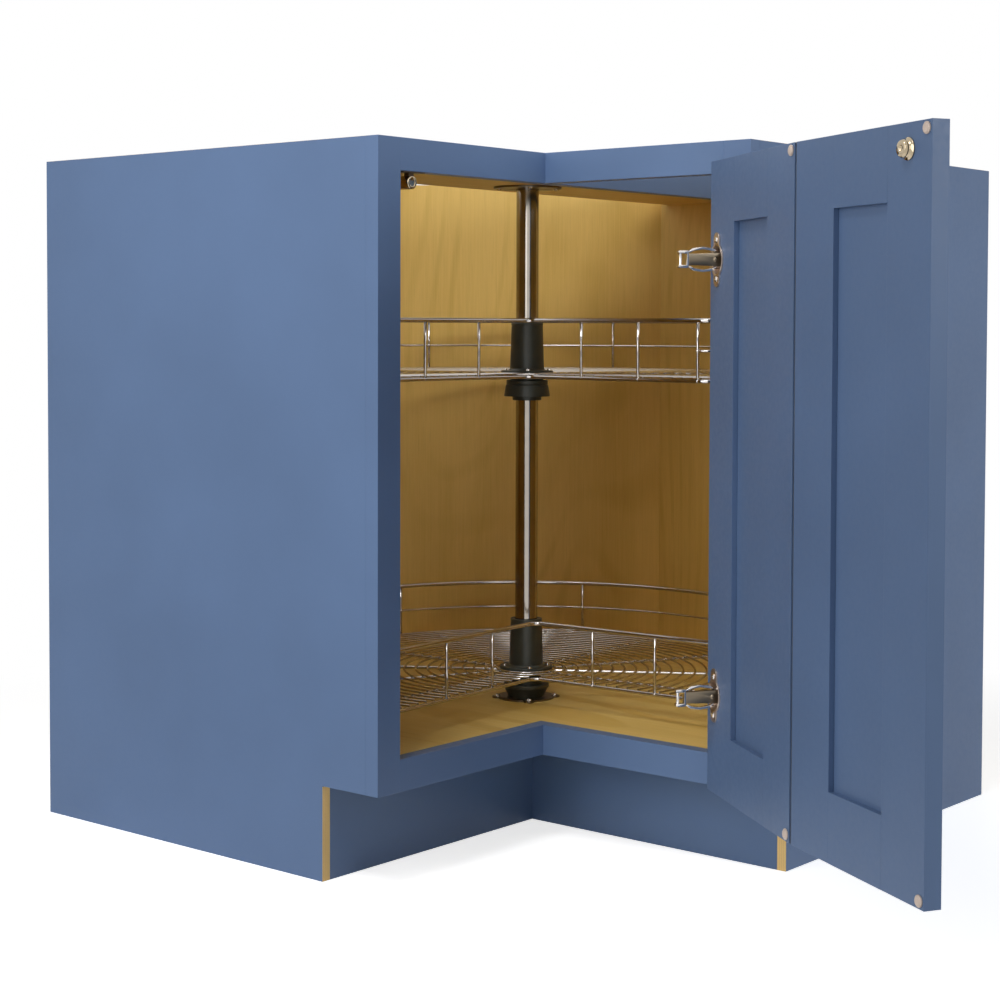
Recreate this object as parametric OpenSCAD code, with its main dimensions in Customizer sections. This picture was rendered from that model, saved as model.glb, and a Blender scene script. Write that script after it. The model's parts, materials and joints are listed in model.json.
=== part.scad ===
// Corner base cabinet with a two-tier carousel: an L-shaped face-frame box, a two-leaf corner door shown
// open, and two pie-cut wire shelves that turn on one fixed post. The origin is the point where the two room
// walls meet the floor: +X runs along the right wall, -Y along the left wall, +Z is up.

/* [Cabinet box] */
// Length of the cabinet along each wall
cabinet_w = 914.4; // [880:0.1:960]
// Depth of each leg, from the wall to the front of the face frame
cabinet_d = 609.6; // [590:0.1:630]
// Height of the cabinet without a worktop
cabinet_h = 876.3; // [840:0.1:900]
// Height of the toe space under the face frame
toe_h = 114.3; // [90:0.1:130]
// How far the toe boards stand behind the front of the face frame
toe_recess = 90; // [70:1:110]
// Thickness of the two end panels
end_t = 12.7; // [12:0.1:18]
// Thickness of the back panels
back_t = 12.7; // [9:0.1:15]
// Thickness of the cabinet floor
floor_t = 12.7; // [12:0.1:16]
// How far the cabinet floor lies below the top of the bottom rails
floor_drop = 5.1; // [2:0.1:8]
// Thickness of the toe boards
toe_board_t = 12.7; // [12:0.1:18]
// Clearance between the wire shelves and the rear face of the diagonal back
back_gap = 23.7; // [18:0.1:60]
// How far each back panel laps behind the end of the diagonal back
back_lap = 12; // [4:1:20]
// Side of the square cleats under the cabinet floor
cleat_w = 19; // [15:1:20]

/* [Face frame] */
// Thickness of the stiles and rails
frame_t = 19.05; // [18:0.05:22]
// Width of the stiles and rails
frame_w = 38.1; // [34:0.1:44]

/* [Door leaves] */
// Thickness of each door leaf
door_t = 19.05; // [18:0.05:22]
// Gap between the face frame and the back of a closed leaf
door_gap = 3; // [3:0.1:4]
// How far a closed leaf laps over the stile and the top rail
door_overlay = 12.7; // [11:0.1:14]
// Width of the leaf stiles as a share of the leaf's width
stile_share = 0.3005; // [0.27:0.0005:0.34]
// Width of the leaf rails
rail_w = 73; // [60:0.1:84]
// Thickness of the flat centre panels
panel_t = 6; // [5:0.1:7]
// How deep the panels and rails sit in the stile grooves
tongue = 8; // [6:0.1:10]
// Clearance of a tongue in its groove
groove_gap = 0.15; // [0.1:0.01:0.3]
// Angle by which the inner leaf stands open
open_angle = 143.7; // [100:0.1:150]
// Angle by which the outer leaf has unfolded from its closed right angle
unfold_angle = 83.2; // [40:0.1:85]

/* [Frame hinges] */
// Distance from each end of the leaf to the middle of a frame hinge
hinge_inset = 115; // [90:1:160]
// Distance of the pivot from the hinged edge of the leaf
pivot_in = 6; // [5.5:0.1:6.2]
// Depth of the pivot below the back face of the leaf
pivot_depth = 10.4; // [10.2:0.1:10.8]
// Radius of the hinge pin
hinge_pin_r = 2.45; // [2:0.05:2.6]
// Radial clearance of the hinge pin in its eye
pin_gap = 0.05; // [0.03:0.01:0.08]
// Distance of the cup centre from the hinged edge of the leaf
cup_in = 24; // [23.5:0.1:25]
// Diameter of the hinge cup
cup_d = 34.8; // [34:0.1:35.5]
// Depth of the hinge cup
cup_depth = 11.5; // [10.5:0.1:12.5]
// Height of the hinge flange
flange_h = 63; // [58:1:70]
// Length by which the hinge arm and its end clip stand out from the leaf
arm_reach = 50; // [44:1:52]
// Length of the clip at the end of the hinge arm
clip_l = 12; // [10:0.5:14]

/* [Fold hinge] */
// Radius of the knuckles on the long hinge between the leaves
knuckle_r = 2.5; // [2.5:0.05:3]
// Radius of the pin of the long hinge
fold_pin_r = 1.3; // [1:0.05:1.5]
// Distance from the pin of the long hinge to the end edge of each leaf
edge_gap = 1.25; // [1.25:0.05:1.6]
// Thickness of the long hinge's plates
fold_plate_t = 1; // [0.8:0.05:1.1]
// Number of knuckles along the long hinge
knuckles = 18; // [8:2:24]

/* [Catch and bumpers] */
// Distance of the strike from the free edge of the outer leaf
strike_in = 39.6; // [39:0.1:46]
// Distance of the strike below the top of the outer leaf
strike_down = 24.9; // [24:0.1:32]
// How far the strike stands out of the leaf
strike_h = 9; // [7:0.1:9]
// Radius of the strike's body
strike_r = 9; // [7:0.1:9]
// Radius of the catch magnet
magnet_r = 8; // [7:0.1:8.5]
// Length of the catch magnet
magnet_l = 18; // [14:0.1:22]
// Radius of a door bumper
bumper_r = 6; // [4:0.1:6.5]
// Distance of a bumper's centre from the edges of its leaf
bumper_in = 8; // [7:0.1:10]

/* [Carousel] */
// Distance of the post from each wall
post_inset = 457.2; // [450:0.1:465]
// Radius of the post
post_r = 15.4; // [12:0.1:16]
// Radius of the wire shelves
shelf_r = 355.6; // [300:0.1:365]
// Height of the lower shelf's floor wires
lower_shelf_z = 185; // [180:1:200]
// Height of the upper shelf's floor wires
upper_shelf_z = 591; // [480:1:620]
// Angle by which the lower shelf stands turned from its home position
lower_turn = 3.4; // [0:0.1:5]
// Angle by which the upper shelf stands turned from its home position
upper_turn = -4.2; // [-5:0.1:0]
// Height of the wire wall round each shelf
wall_h = 75; // [60:1:100]
// Number of upright wires in the round wall
round_uprights = 6; // [5:1:8]
// Number of upright wires along each side of the pie cut
cut_uprights = 3; // [2:1:5]
// Distance from the post to the first upright along a side of the pie cut
cut_upright_x = 142; // [100:1:170]
// Distance from the post to each side of the pie cut
cut_offset = 47.8; // [45:0.1:60]
// Bend radius of the wall wires at the corners
bend_r = 15; // [12:0.5:20]
// Diameter of the top wall wire
top_wire_d = 6; // [5:0.1:7]
// Diameter of the middle wall wire
mid_wire_d = 3; // [2.5:0.1:4]
// Diameter of the bottom wall wire
border_wire_d = 5; // [4:0.1:6]
// Diameter of the upright wires
upright_d = 4; // [3:0.1:4.5]
// Diameter of the radial floor wires
spoke_d = 4.5; // [4:0.1:5]
// Diameter of the ring wires of the floor
ring_d = 2.8; // [2.4:0.1:3.4]
// Spacing of the ring wires
ring_pitch = 16; // [12:0.5:24]
// Radius of the first ring wire
first_ring_r = 40; // [38:0.5:46]

/* [Hubs and bearings] */
// Radius of a shelf hub's sleeve at its foot
sleeve_r = 23.2; // [22:0.1:25]
// How much narrower a hub's sleeve is at its top
sleeve_taper = 1.9; // [0:0.1:3]
// Height of a hub's sleeve above the floor wires
sleeve_h = 72; // [55:1:80]
// Radius of the hub's clamp disc
clamp_r = 36; // [33:0.5:38]
// Thickness of the hub's clamp disc
clamp_t = 5; // [4:0.1:8]
// How far a hub reaches below the floor wires
hub_foot = 6; // [5:0.1:8]
// Running clearance of a hub on the post
run_gap = 0.05; // [0.03:0.01:0.08]
// Gap under a hub, where its washer runs
seat_gap = 0.3; // [0.2:0.05:0.5]
// Radius of the lower bearing
bearing_r = 31.5; // [28:0.5:33]
// Height of the wide part of the lower bearing
bearing_h = 18; // [14:0.5:20]
// Radius of the support collar at the foot of its cone
collar_r = 31.3; // [29:0.1:33]
// How much narrower the collar's cone is at its top
collar_taper = 2.3; // [0:0.1:4]
// Height of the collar's cone
cone_h = 16; // [12:0.1:18]
// Radius of the ring on top of the support collar
collar_ring_r = 28.3; // [26:0.1:30]
// Height of the ring on top of the support collar
collar_ring_h = 6; // [4:0.1:8]
// Radius of the foot of the support collar
collar_foot_r = 20; // [18:0.1:24]
// Height of the foot of the support collar
collar_foot_h = 5.4; // [4:0.1:8]
// Radius of the base plate
base_r = 46.5; // [44:0.5:50]
// Thickness of the base plate
base_t = 2.5; // [2:0.1:4]
// Radius of the top plate
top_plate_r = 46.5; // [44:0.5:50]
// Thickness of the top plate
top_plate_t = 2.5; // [2:0.1:4]
// Distance of the screws from the edge of the base plate and the top plate
bolt_edge = 7.5; // [7:0.1:9]
// Height of the socket that stands up from the top plate into the board
socket_h = 10; // [6:0.5:12]
// Wall thickness of that socket
socket_wall = 4; // [3:0.1:6]
// Thickness of the board that holds the top of the post
board_t = 19.05; // [16:0.05:22]
// How far the board's top lies below the top of the cabinet
board_drop = 9; // [0:0.1:10]
// How far the board reaches past the post, towards the wall
board_back = 82; // [50:1:100]

/* [Hidden] */

// Overlap used only to make a cut or a join clean
eps = 0.5;

// Colours
paint = [0.33, 0.42, 0.55];
birch = [0.82, 0.64, 0.42];
chrome = [0.78, 0.78, 0.80];
nickel = [0.55, 0.52, 0.48];
plastic = [0.20, 0.20, 0.21];
rubber = [0.68, 0.66, 0.63];

// Levels of the box
floor_top = toe_h + frame_w - floor_drop;
floor_under = floor_top - floor_t;
opening_top = cabinet_h - frame_w;
board_under = cabinet_h - board_drop - board_t;

// Planes of the box, as distances from the walls. The diagonal back stays clear of the shelves; corner_cut is
// the distance from the wall corner to where it meets each wall
corner_cut = 2 * post_inset - sqrt(2) * (shelf_r + back_gap);
end_in = cabinet_w - end_t;
frame_back = cabinet_d - frame_t;
stile_in = cabinet_w - frame_w;
toe_front = cabinet_d - toe_recess;

// A closed leaf: its back face, its hinged edge, the fold pin and the leaf's own size
leaf_back = cabinet_d + door_gap;
leaf_edge = stile_in + door_overlay;
fold_pin = leaf_back + door_t + knuckle_r;
leaf_w = leaf_edge - fold_pin - edge_gap;
stile_w = stile_share * leaf_w;
leaf_z = toe_h;
leaf_h = opening_top + door_overlay - leaf_z;
pivot = [leaf_edge - pivot_in, -(leaf_back + pivot_depth)];
hinge_zs = [hinge_inset, leaf_h - hinge_inset];

// Frame hinge: the eye on the frame plate, the two lugs on the cup and the pin through them
eye_r = 4.2;
eye_h = 12;
lug_t = 2.5;
lug_gap = 0.5;
lug_top = eye_h / 2 + lug_gap + lug_t;
lug_l = 12;
pin_head_r = 3.3;
pin_head_t = 1;
pocket_h = 2 * (lug_top + pin_head_t + 0.5);
pocket_depth = pivot_depth + eye_r + 0.45;

// Frame hinge: the cup with its flange, and the notch through which the eye's tongue swings
tongue_t = 2.5;
cup_gap = 0.1;
cup_wall = 1;
flange_t = 2;
flange_rim = 1.6;
flange_end_r = 9;
notch_u = cup_in - 3;

// Frame hinge: the arm, its pin and its end clip
arm_u = cup_in + 1;
arm_t = 7;
arm_foot = 7.5;
arm_tip = 6.5;
arm_end = arm_reach - clip_l;
arm_pin_h = 5.5;
arm_pin_r = 3;
clip_half = 10;
clip_lug_t = 3.4;
clip_web_t = 2;
clip_pin_r = 1.6;
clip_pin_h = arm_reach - 3;

// Frame hinge: the links, as their width along the leaf and their bow beyond the arm
link_t = 5;
link_gap = 0.2;
link_bow = 4;
link_w = 2.8;

// Frame hinge: the plate on the stile and the boss that carries its eye
plate_h = 50;
plate_t = 2;
boss_t = 7.3;
boss_l = 12;
boss_step = 1.4;

// Small screws
small_screw_r = 1.7;
small_screw_l = 12;
small_head_r = 3.5;
small_head_t = 1.2;
screw_gap = 0.05;
pilot_l = small_screw_l + 2;
plate_screw_spread = 17;
cup_screw_spread = flange_h / 2 - flange_end_r;
catch_screw_spread = 13;
catch_screw_l = 9;

// Door bumpers stop just short of the frame
bumper_h = door_gap - 0.3;

// The strike and the catch magnet share one axis; the magnet stops short of the closed strike
catch_z = leaf_z + leaf_h - strike_down;
catch_y = -(leaf_edge - strike_in);
magnet_front = leaf_back - strike_h - 0.3;

// Carousel levels
base_top = floor_top + base_t;
ring_z = (spoke_d + ring_d) / 2 - 0.5;
mid_wire_z = wall_h / 2;
plate_screw_r = 2.1;
plate_head_r = 4;
plate_head_t = 2.2;
plate_screw_l = 11;
base_bolt_r = base_r - bolt_edge;
top_bolt_r = top_plate_r - bolt_edge;
collar_z = upper_shelf_z - hub_foot - seat_gap;
collar_screw_z = -collar_ring_h - cone_h / 2;
wire_fn = 24;
round_fn = 64;

// ---- helpers ----

// A rectangular board between two opposite corners
module board(a, b) {
    translate([min(a[0], b[0]), min(a[1], b[1]), min(a[2], b[2])])
        cube([abs(a[0] - b[0]), abs(a[1] - b[1]), abs(a[2] - b[2])]);
}

// Swaps the two legs of the cabinet: what is drawn along the left wall appears along the right one
module swap_legs() {
    mirror([1, 1, 0]) children();
}

// An arc of round wire about the z axis
module wire_arc(r, d, from, to) {
    rotate([0, 0, from])
        rotate_extrude(angle = to - from, $fn = 96)
            translate([r, 0]) circle(d = d, $fn = wire_fn);
}

// A straight round wire from p towards the angle given, in a horizontal plane
module wire_run(p, angle, length, d) {
    translate(p) rotate([0, 0, angle]) rotate([0, 90, 0]) cylinder(d = d, h = length, $fn = wire_fn);
}

module at_post(z) {
    translate([post_inset, -post_inset, z]) children();
}

// Four places on a circle, between the axes
module on_circle(r) {
    for (i = [0 : 3]) rotate([0, 0, 45 + 90 * i]) translate([r, 0, 0]) children();
}

// A pan-head screw along -z with its seat at z = 0; the shank starts in the seat
module pan_screw(shank_r, shank_l, head_r, head_t) {
    translate([0, 0, -shank_l]) cylinder(r = shank_r, h = shank_l, $fn = wire_fn);
    difference() {
        rotate_extrude($fn = 32) polygon([
            [0, 0], [head_r, 0], [head_r, 0.4 * head_t], [0.7 * head_r, head_t], [0, head_t]
        ]);
        for (a = [0, 90]) rotate([0, 0, a])
            translate([-head_r / 2, -0.1 * head_r, 0.5 * head_t]) cube([head_r, 0.2 * head_r, head_t]);
    }
}

// ---- placing the door leaves ----
// Both leaves are drawn in leaf coordinates: x from one vertical edge, y from the back face towards the front
// face, z from the bottom edge.

module turn_about(p, angle) {
    translate([p[0], p[1], 0]) rotate([0, 0, angle]) translate([-p[0], -p[1], 0]) children();
}

// The inner leaf, x = 0 at its hinged edge
module place_inner() {
    turn_about(pivot, open_angle)
        translate([leaf_edge, -leaf_back, leaf_z]) rotate([0, 0, 180]) children();
}

// The outer leaf, x = 0 at the fold
module place_outer() {
    turn_about(pivot, open_angle)
        turn_about([fold_pin, -fold_pin], -unfold_angle)
            translate([leaf_back, -(fold_pin + edge_gap), leaf_z]) rotate([0, 0, -90]) children();
}

// Each hinge height on the inner leaf
module at_hinges() {
    for (z = hinge_zs) translate([0, 0, z]) children();
}

// ---- the box ----

// An end panel in the plane of the left end, with its toe notch
module end_board() {
    translate([0, -end_in, 0]) rotate([90, 0, 0]) linear_extrude(end_t) polygon([
        [0, 0], [toe_front, 0], [toe_front, toe_h], [frame_back, toe_h],
        [frame_back, cabinet_h], [0, cabinet_h]
    ]);
}

module left_end_panel() color(paint) end_board();

module right_end_panel() color(paint) swap_legs() end_board();

module floor_panel() color(birch) difference() {
    translate([0, 0, floor_under]) linear_extrude(floor_t) polygon([
        [back_t, -(corner_cut - back_t)], [back_t, -end_in], [frame_back, -end_in], [frame_back, -frame_back],
        [end_in, -frame_back], [end_in, -back_t], [corner_cut - back_t, -back_t]
    ]);
    at_post(floor_top) on_circle(base_bolt_r)
        translate([0, 0, -plate_screw_l])
            cylinder(r = plate_screw_r + screw_gap, h = plate_screw_l + eps, $fn = wire_fn);
}

// The back panel on the left wall
module back_board() {
    board([0, -end_in, 0], [back_t, -(corner_cut - back_t - sqrt(2) * back_t - back_lap), cabinet_h]);
}

module left_back_panel() color(birch) back_board();

module right_back_panel() color(birch) swap_legs() back_board();

// The diagonal back: its slanted ends lie flat on the two straight back panels
module diagonal_back_panel() color(birch) {
    front = corner_cut - back_t;
    rear = front - sqrt(2) * back_t;
    linear_extrude(cabinet_h) polygon([
        [back_t, -front], [front, -back_t], [rear, -back_t], [back_t, -rear]
    ]);
}

module floor_cleats() color(birch) {
    cleat_end = corner_cut - back_t;
    board([back_t, -end_in, floor_under - cleat_w], [back_t + cleat_w, -cleat_end, floor_under]);
    swap_legs() board([back_t, -end_in, floor_under - cleat_w], [back_t + cleat_w, -cleat_end, floor_under]);
}

// A toe board of the left leg that ends at y = -inner
module toe_board(inner) {
    board([toe_front - toe_board_t, -end_in, 0], [toe_front, -inner, floor_under]);
}

module left_toe_board() color(paint) toe_board(toe_front - toe_board_t);

module right_toe_board() color(paint) swap_legs() toe_board(toe_front);

// ---- the face frame ----

module frame_stile() {
    board([frame_back, -cabinet_w, toe_h], [cabinet_d, -stile_in, cabinet_h]);
}

// A rail of the left leg between its stile and y = -inner
module frame_rail(inner, z) {
    board([frame_back, -stile_in, z], [cabinet_d, -inner, z + frame_w]);
}

module left_stile() color(paint) frame_stile();

module right_stile() color(paint) difference() {
    swap_legs() frame_stile();
    at_frame_plates() for (s = [-1, 1])
        translate([-eps, 0, s * plate_screw_spread]) rotate([0, 90, 0])
            cylinder(r = small_screw_r + screw_gap, h = pilot_l + eps, $fn = wire_fn);
}

// The left top rail runs on past the inner corner to the right wall's back panel
module left_top_rail() color(paint) difference() {
    frame_rail(back_t, opening_top);
    catch_screw_holes(opening_top - eps, catch_screw_l);
}

module right_top_rail() color(paint) swap_legs() frame_rail(cabinet_d, opening_top);

module left_bottom_rail() color(paint) frame_rail(frame_back, toe_h);

module right_bottom_rail() color(paint) swap_legs() frame_rail(cabinet_d, toe_h);

// ---- the board and plates that hold the post ----

module bearing_board() color(birch) difference() {
    board([post_inset - board_back, -end_in, board_under], [frame_back, -back_t, board_under + board_t]);
    at_post(board_under - eps) {
        on_circle(top_bolt_r)
            cylinder(r = plate_screw_r + screw_gap, h = plate_screw_l + eps, $fn = wire_fn);
        cylinder(r = post_r + socket_wall + screw_gap, h = socket_h + seat_gap + eps, $fn = round_fn);
    }
}

module base_plate() color(nickel) at_post(floor_top) difference() {
    union() {
        cylinder(r = base_r - bolt_edge, h = base_t, $fn = round_fn);
        on_circle(base_bolt_r) cylinder(r = base_r - base_bolt_r, h = base_t, $fn = 32);
        for (a = [45, 135]) rotate([0, 0, a])
            translate([-base_bolt_r, -(base_r - base_bolt_r), 0])
                cube([2 * base_bolt_r, 2 * (base_r - base_bolt_r), base_t]);
    }
    on_circle(base_bolt_r) translate([0, 0, -eps])
        cylinder(r = plate_screw_r + screw_gap, h = base_t + 2 * eps, $fn = wire_fn);
}

module base_screws() color(chrome) at_post(base_top) on_circle(base_bolt_r)
    pan_screw(plate_screw_r, plate_screw_l, plate_head_r, plate_head_t);

module lower_bearing() color(plastic) at_post(base_top) {
    neck_top = lower_shelf_z - hub_foot - seat_gap - base_top;
    rotate_extrude($fn = round_fn) polygon([
        [post_r + run_gap, 0], [bearing_r, 0], [bearing_r, bearing_h], [sleeve_r, bearing_h],
        [sleeve_r, neck_top], [post_r + run_gap, neck_top]
    ]);
}

// The post ends inside the top plate's socket
module post() color(chrome) at_post(base_top)
    cylinder(r = post_r, h = board_under + socket_h - seat_gap - base_top, $fn = round_fn);

// The collar that carries the upper shelf, held on the post by its screw: a ring, a cone and a narrow foot
module support_collar() color(plastic) at_post(collar_z) difference() {
    foot = -collar_ring_h - cone_h;
    rotate_extrude($fn = round_fn) polygon([
        [post_r + run_gap, 0], [collar_ring_r, 0], [collar_ring_r, -collar_ring_h],
        [collar_r - collar_taper, -collar_ring_h], [collar_r, foot], [collar_foot_r, foot],
        [collar_foot_r, foot - collar_foot_h], [post_r + run_gap, foot - collar_foot_h]
    ]);
    translate([0, 0, collar_screw_z]) rotate([0, 90, -45])
        cylinder(r = plate_screw_r + screw_gap, h = collar_r + eps, $fn = wire_fn);
}

// It ends just inside the surface of the cone
module collar_screw() color(chrome) at_post(collar_z + collar_screw_z)
    rotate([0, 90, -45]) translate([0, 0, post_r + run_gap])
        cylinder(r = plate_screw_r, h = collar_r - collar_taper - post_r - run_gap, $fn = wire_fn);

module top_plate() color(nickel) at_post(board_under) difference() {
    rotate_extrude($fn = round_fn) polygon([
        [post_r + run_gap, -top_plate_t], [top_plate_r, -top_plate_t], [top_plate_r, 0],
        [post_r + socket_wall, 0], [post_r + socket_wall, socket_h], [post_r + run_gap, socket_h]
    ]);
    on_circle(top_bolt_r) translate([0, 0, -top_plate_t - eps])
        cylinder(r = plate_screw_r + screw_gap, h = top_plate_t + 2 * eps, $fn = wire_fn);
}

module top_screws() color(chrome) at_post(board_under - top_plate_t) on_circle(top_bolt_r)
    rotate([180, 0, 0]) pan_screw(plate_screw_r, plate_screw_l, plate_head_r, plate_head_t);

// ---- the wire shelves ----

// The corners of the pie cut, seen from the post: the angle where the outer bend ends, and its place
bend_phi = asin((cut_offset - bend_r) / (shelf_r - bend_r));
bend_x = (shelf_r - bend_r) * cos(bend_phi);
// Half of the gap between two stretches
weld_gap = 0.1;

// The round wall's wires, each as its height and its diameter
round_wires = [[0, border_wire_d], [mid_wire_z, mid_wire_d], [wall_h, top_wire_d]];
// The sides of the pie cut have no middle wire
cut_wires = [[0, border_wire_d], [wall_h, top_wire_d]];

module upright(x, y) {
    translate([x, y, 0]) cylinder(d = upright_d, h = wall_h, $fn = wire_fn);
}

// One stretch of the round wall
module wall_stretch(from, to) {
    slack = weld_gap / shelf_r * 180 / PI;
    for (w = round_wires) translate([0, 0, w[0]]) wire_arc(shelf_r, w[1], from + slack, to - slack);
}

// The wires that end the round wall at a side of the pie cut: a short stretch, up to the angle given, and the
// bend at the rim, which has no middle wire
module rim_wires(to) {
    wall_stretch(-bend_phi, to);
    slack = weld_gap / bend_r * 180 / PI;
    for (w = cut_wires) translate([bend_x, bend_r - cut_offset, w[0]])
        wire_arc(bend_r, w[1], slack - 90, -bend_phi - slack);
}

// The round wall: its uprights stand at equal angles, each in the middle of a stretch, and plain stretches of
// the same length lie between them
module round_wall() {
    pitch = (270 + 2 * bend_phi) / round_uprights;
    for (i = [0 : round_uprights - 1]) {
        middle = -bend_phi + (i + 0.5) * pitch;
        wall_stretch(middle - pitch / 4, middle + pitch / 4);
        rotate([0, 0, middle]) upright(shelf_r, 0);
    }
    for (i = [1 : round_uprights - 1])
        wall_stretch(-bend_phi + (i - 0.25) * pitch, -bend_phi + (i + 0.25) * pitch);
    rim_wires(-bend_phi + pitch / 4);
    mirror([1, 1, 0]) rim_wires(-bend_phi + pitch / 4);
}

// The wall along one side of the pie cut, with half of the bend at the apex
module cut_wall() {
    start = cut_offset + bend_r;
    last_upright = bend_x - upright_d;
    for (w = cut_wires) translate([0, 0, w[0]]) {
        wire_run([start, -cut_offset, 0], 0, bend_x - start, w[1]);
        translate([start, -start, 0]) wire_arc(bend_r, w[1], 90, 135 - weld_gap / bend_r * 180 / PI);
    }
    for (i = [0 : cut_uprights - 1])
        upright(cut_upright_x + i * (last_upright - cut_upright_x) / (cut_uprights - 1), -cut_offset);
}

module wall_wires() color(chrome) {
    round_wall();
    cut_wall();
    mirror([1, 1, 0]) cut_wall();
}

// A third of the shelf floor: ring wires lying on the spokes at the angles given. The rings run from the
// first angle's spoke to just short of the next third's first spoke, or to the border wire at the pie cut.
function cut_angle(r) = min(45 - 0.3, asin(min(1, (cut_offset - border_wire_d / 2 - 0.2) / r)));
function lap_angle(r, gap) = asin((spoke_d / 2 + gap) / r);

module floor_third(spokes, opens, closes) color(chrome) {
    for (r = [first_ring_r : ring_pitch : shelf_r - border_wire_d / 2 - ring_d])
        translate([0, 0, ring_z]) wire_arc(
            r, ring_d,
            opens ? spokes[0] - cut_angle(r) : spokes[0] - lap_angle(r, 0),
            closes ? spokes[len(spokes) - 1] + cut_angle(r) : spokes[0] + 90 - lap_angle(r, 0.2)
        );
    for (a = spokes)
        rotate([0, 0, a])
            wire_run([sleeve_r + 0.2, 0, 0], 0, shelf_r - border_wire_d / 2 - sleeve_r - 0.4, spoke_d);
}

module floor_a() floor_third([0, 30, 60], true, false);
module floor_b() floor_third([90, 120, 150], false, false);
module floor_c() floor_third([180, 210, 240, 270], false, true);

// The hub: a tapered sleeve that runs on the post, with a rim at its top and a disc that clamps the spokes
module hub() color(plastic) {
    top_r = sleeve_r - sleeve_taper;
    rim = 0.5;
    rim_h = 3;
    disc_top = spoke_d / 2 + clamp_t;
    rotate_extrude($fn = round_fn) polygon([
        [post_r + run_gap, -hub_foot], [sleeve_r, -hub_foot], [sleeve_r, spoke_d / 2], [clamp_r, spoke_d / 2],
        [clamp_r, disc_top - 1], [clamp_r - 1, disc_top], [sleeve_r, disc_top], [top_r, sleeve_h - rim_h],
        [top_r + rim, sleeve_h - rim_h], [top_r + rim, sleeve_h], [post_r + run_gap, sleeve_h]
    ]);
}

// Puts a shelf's parts on the post at height z, turned from the home position
module on_post(z, turn) {
    at_post(z) rotate([0, 0, turn]) children();
}

module lower_wall_wires() on_post(lower_shelf_z, lower_turn) wall_wires();
module lower_floor_a() on_post(lower_shelf_z, lower_turn) floor_a();
module lower_floor_b() on_post(lower_shelf_z, lower_turn) floor_b();
module lower_floor_c() on_post(lower_shelf_z, lower_turn) floor_c();
module lower_hub() on_post(lower_shelf_z, lower_turn) hub();
module upper_wall_wires() on_post(upper_shelf_z, upper_turn) wall_wires();
module upper_floor_a() on_post(upper_shelf_z, upper_turn) floor_a();
module upper_floor_b() on_post(upper_shelf_z, upper_turn) floor_b();
module upper_floor_c() on_post(upper_shelf_z, upper_turn) floor_c();
module upper_hub() on_post(upper_shelf_z, upper_turn) hub();

// ---- the door leaves ----

// A leaf stile from x = 0, with its groove on the far side
module leaf_stile() {
    difference() {
        cube([stile_w, door_t, leaf_h]);
        translate([stile_w - tongue - groove_gap, (door_t - panel_t) / 2 - groove_gap, -eps])
            cube([tongue + groove_gap + eps, panel_t + 2 * groove_gap, leaf_h + 2 * eps]);
    }
}

// The stile at the other edge of the leaf
module far_stile() {
    translate([leaf_w, 0, 0]) mirror([1, 0, 0]) leaf_stile();
}

// The bottom rail, with a stub tongue at each end and a groove along its top
module leaf_rail() {
    difference() {
        union() {
            translate([stile_w, 0, 0]) cube([leaf_w - 2 * stile_w, door_t, rail_w]);
            translate([stile_w - tongue, (door_t - panel_t) / 2, 0])
                cube([leaf_w - 2 * (stile_w - tongue), panel_t, rail_w]);
        }
        translate([0, (door_t - panel_t) / 2 - groove_gap, rail_w - tongue - groove_gap])
            cube([leaf_w, panel_t + 2 * groove_gap, tongue + groove_gap + eps]);
    }
}

module far_rail() {
    translate([0, 0, leaf_h]) mirror([0, 0, 1]) leaf_rail();
}

module leaf_panel() {
    translate([stile_w - tongue, (door_t - panel_t) / 2, rail_w - tongue])
        cube([leaf_w - 2 * (stile_w - tongue), panel_t, leaf_h - 2 * (rail_w - tongue)]);
}

module inner_hinge_stile() color(paint) place_inner() difference() {
    leaf_stile();
    at_hinges() {
        translate([-eps, -eps, -pocket_h / 2]) cube([notch_u + eps, pocket_depth + eps, pocket_h]);
        translate([cup_in, -eps, 0]) rotate([-90, 0, 0])
            cylinder(d = cup_d + 2 * cup_gap, h = cup_depth + cup_gap + eps, $fn = round_fn);
        for (s = [-1, 1]) translate([cup_in, small_screw_l, s * cup_screw_spread]) rotate([90, 0, 0])
            cylinder(r = small_screw_r + screw_gap, h = small_screw_l + eps, $fn = wire_fn);
    }
}

module inner_joint_stile() color(paint) place_inner() far_stile();
module inner_top_rail() color(paint) place_inner() far_rail();
module inner_bottom_rail() color(paint) place_inner() leaf_rail();
module inner_panel() color(paint) place_inner() leaf_panel();
module outer_joint_stile() color(paint) place_outer() leaf_stile();
module outer_free_stile() color(paint) place_outer() far_stile();
module outer_top_rail() color(paint) place_outer() far_rail();
module outer_bottom_rail() color(paint) place_outer() leaf_rail();
module outer_panel() color(paint) place_outer() leaf_panel();

// ---- the frame hinges ----

// The outline of a hinge flange, seen square to the leaf: a round middle and two rounded ears
module flange_outline() {
    circle(d = cup_d + 2 * flange_rim, $fn = round_fn);
    for (s = [-1, 1]) translate([0, s * cup_screw_spread]) circle(r = flange_end_r, $fn = round_fn);
    square([2 * flange_end_r, 2 * cup_screw_spread], center = true);
}

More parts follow.
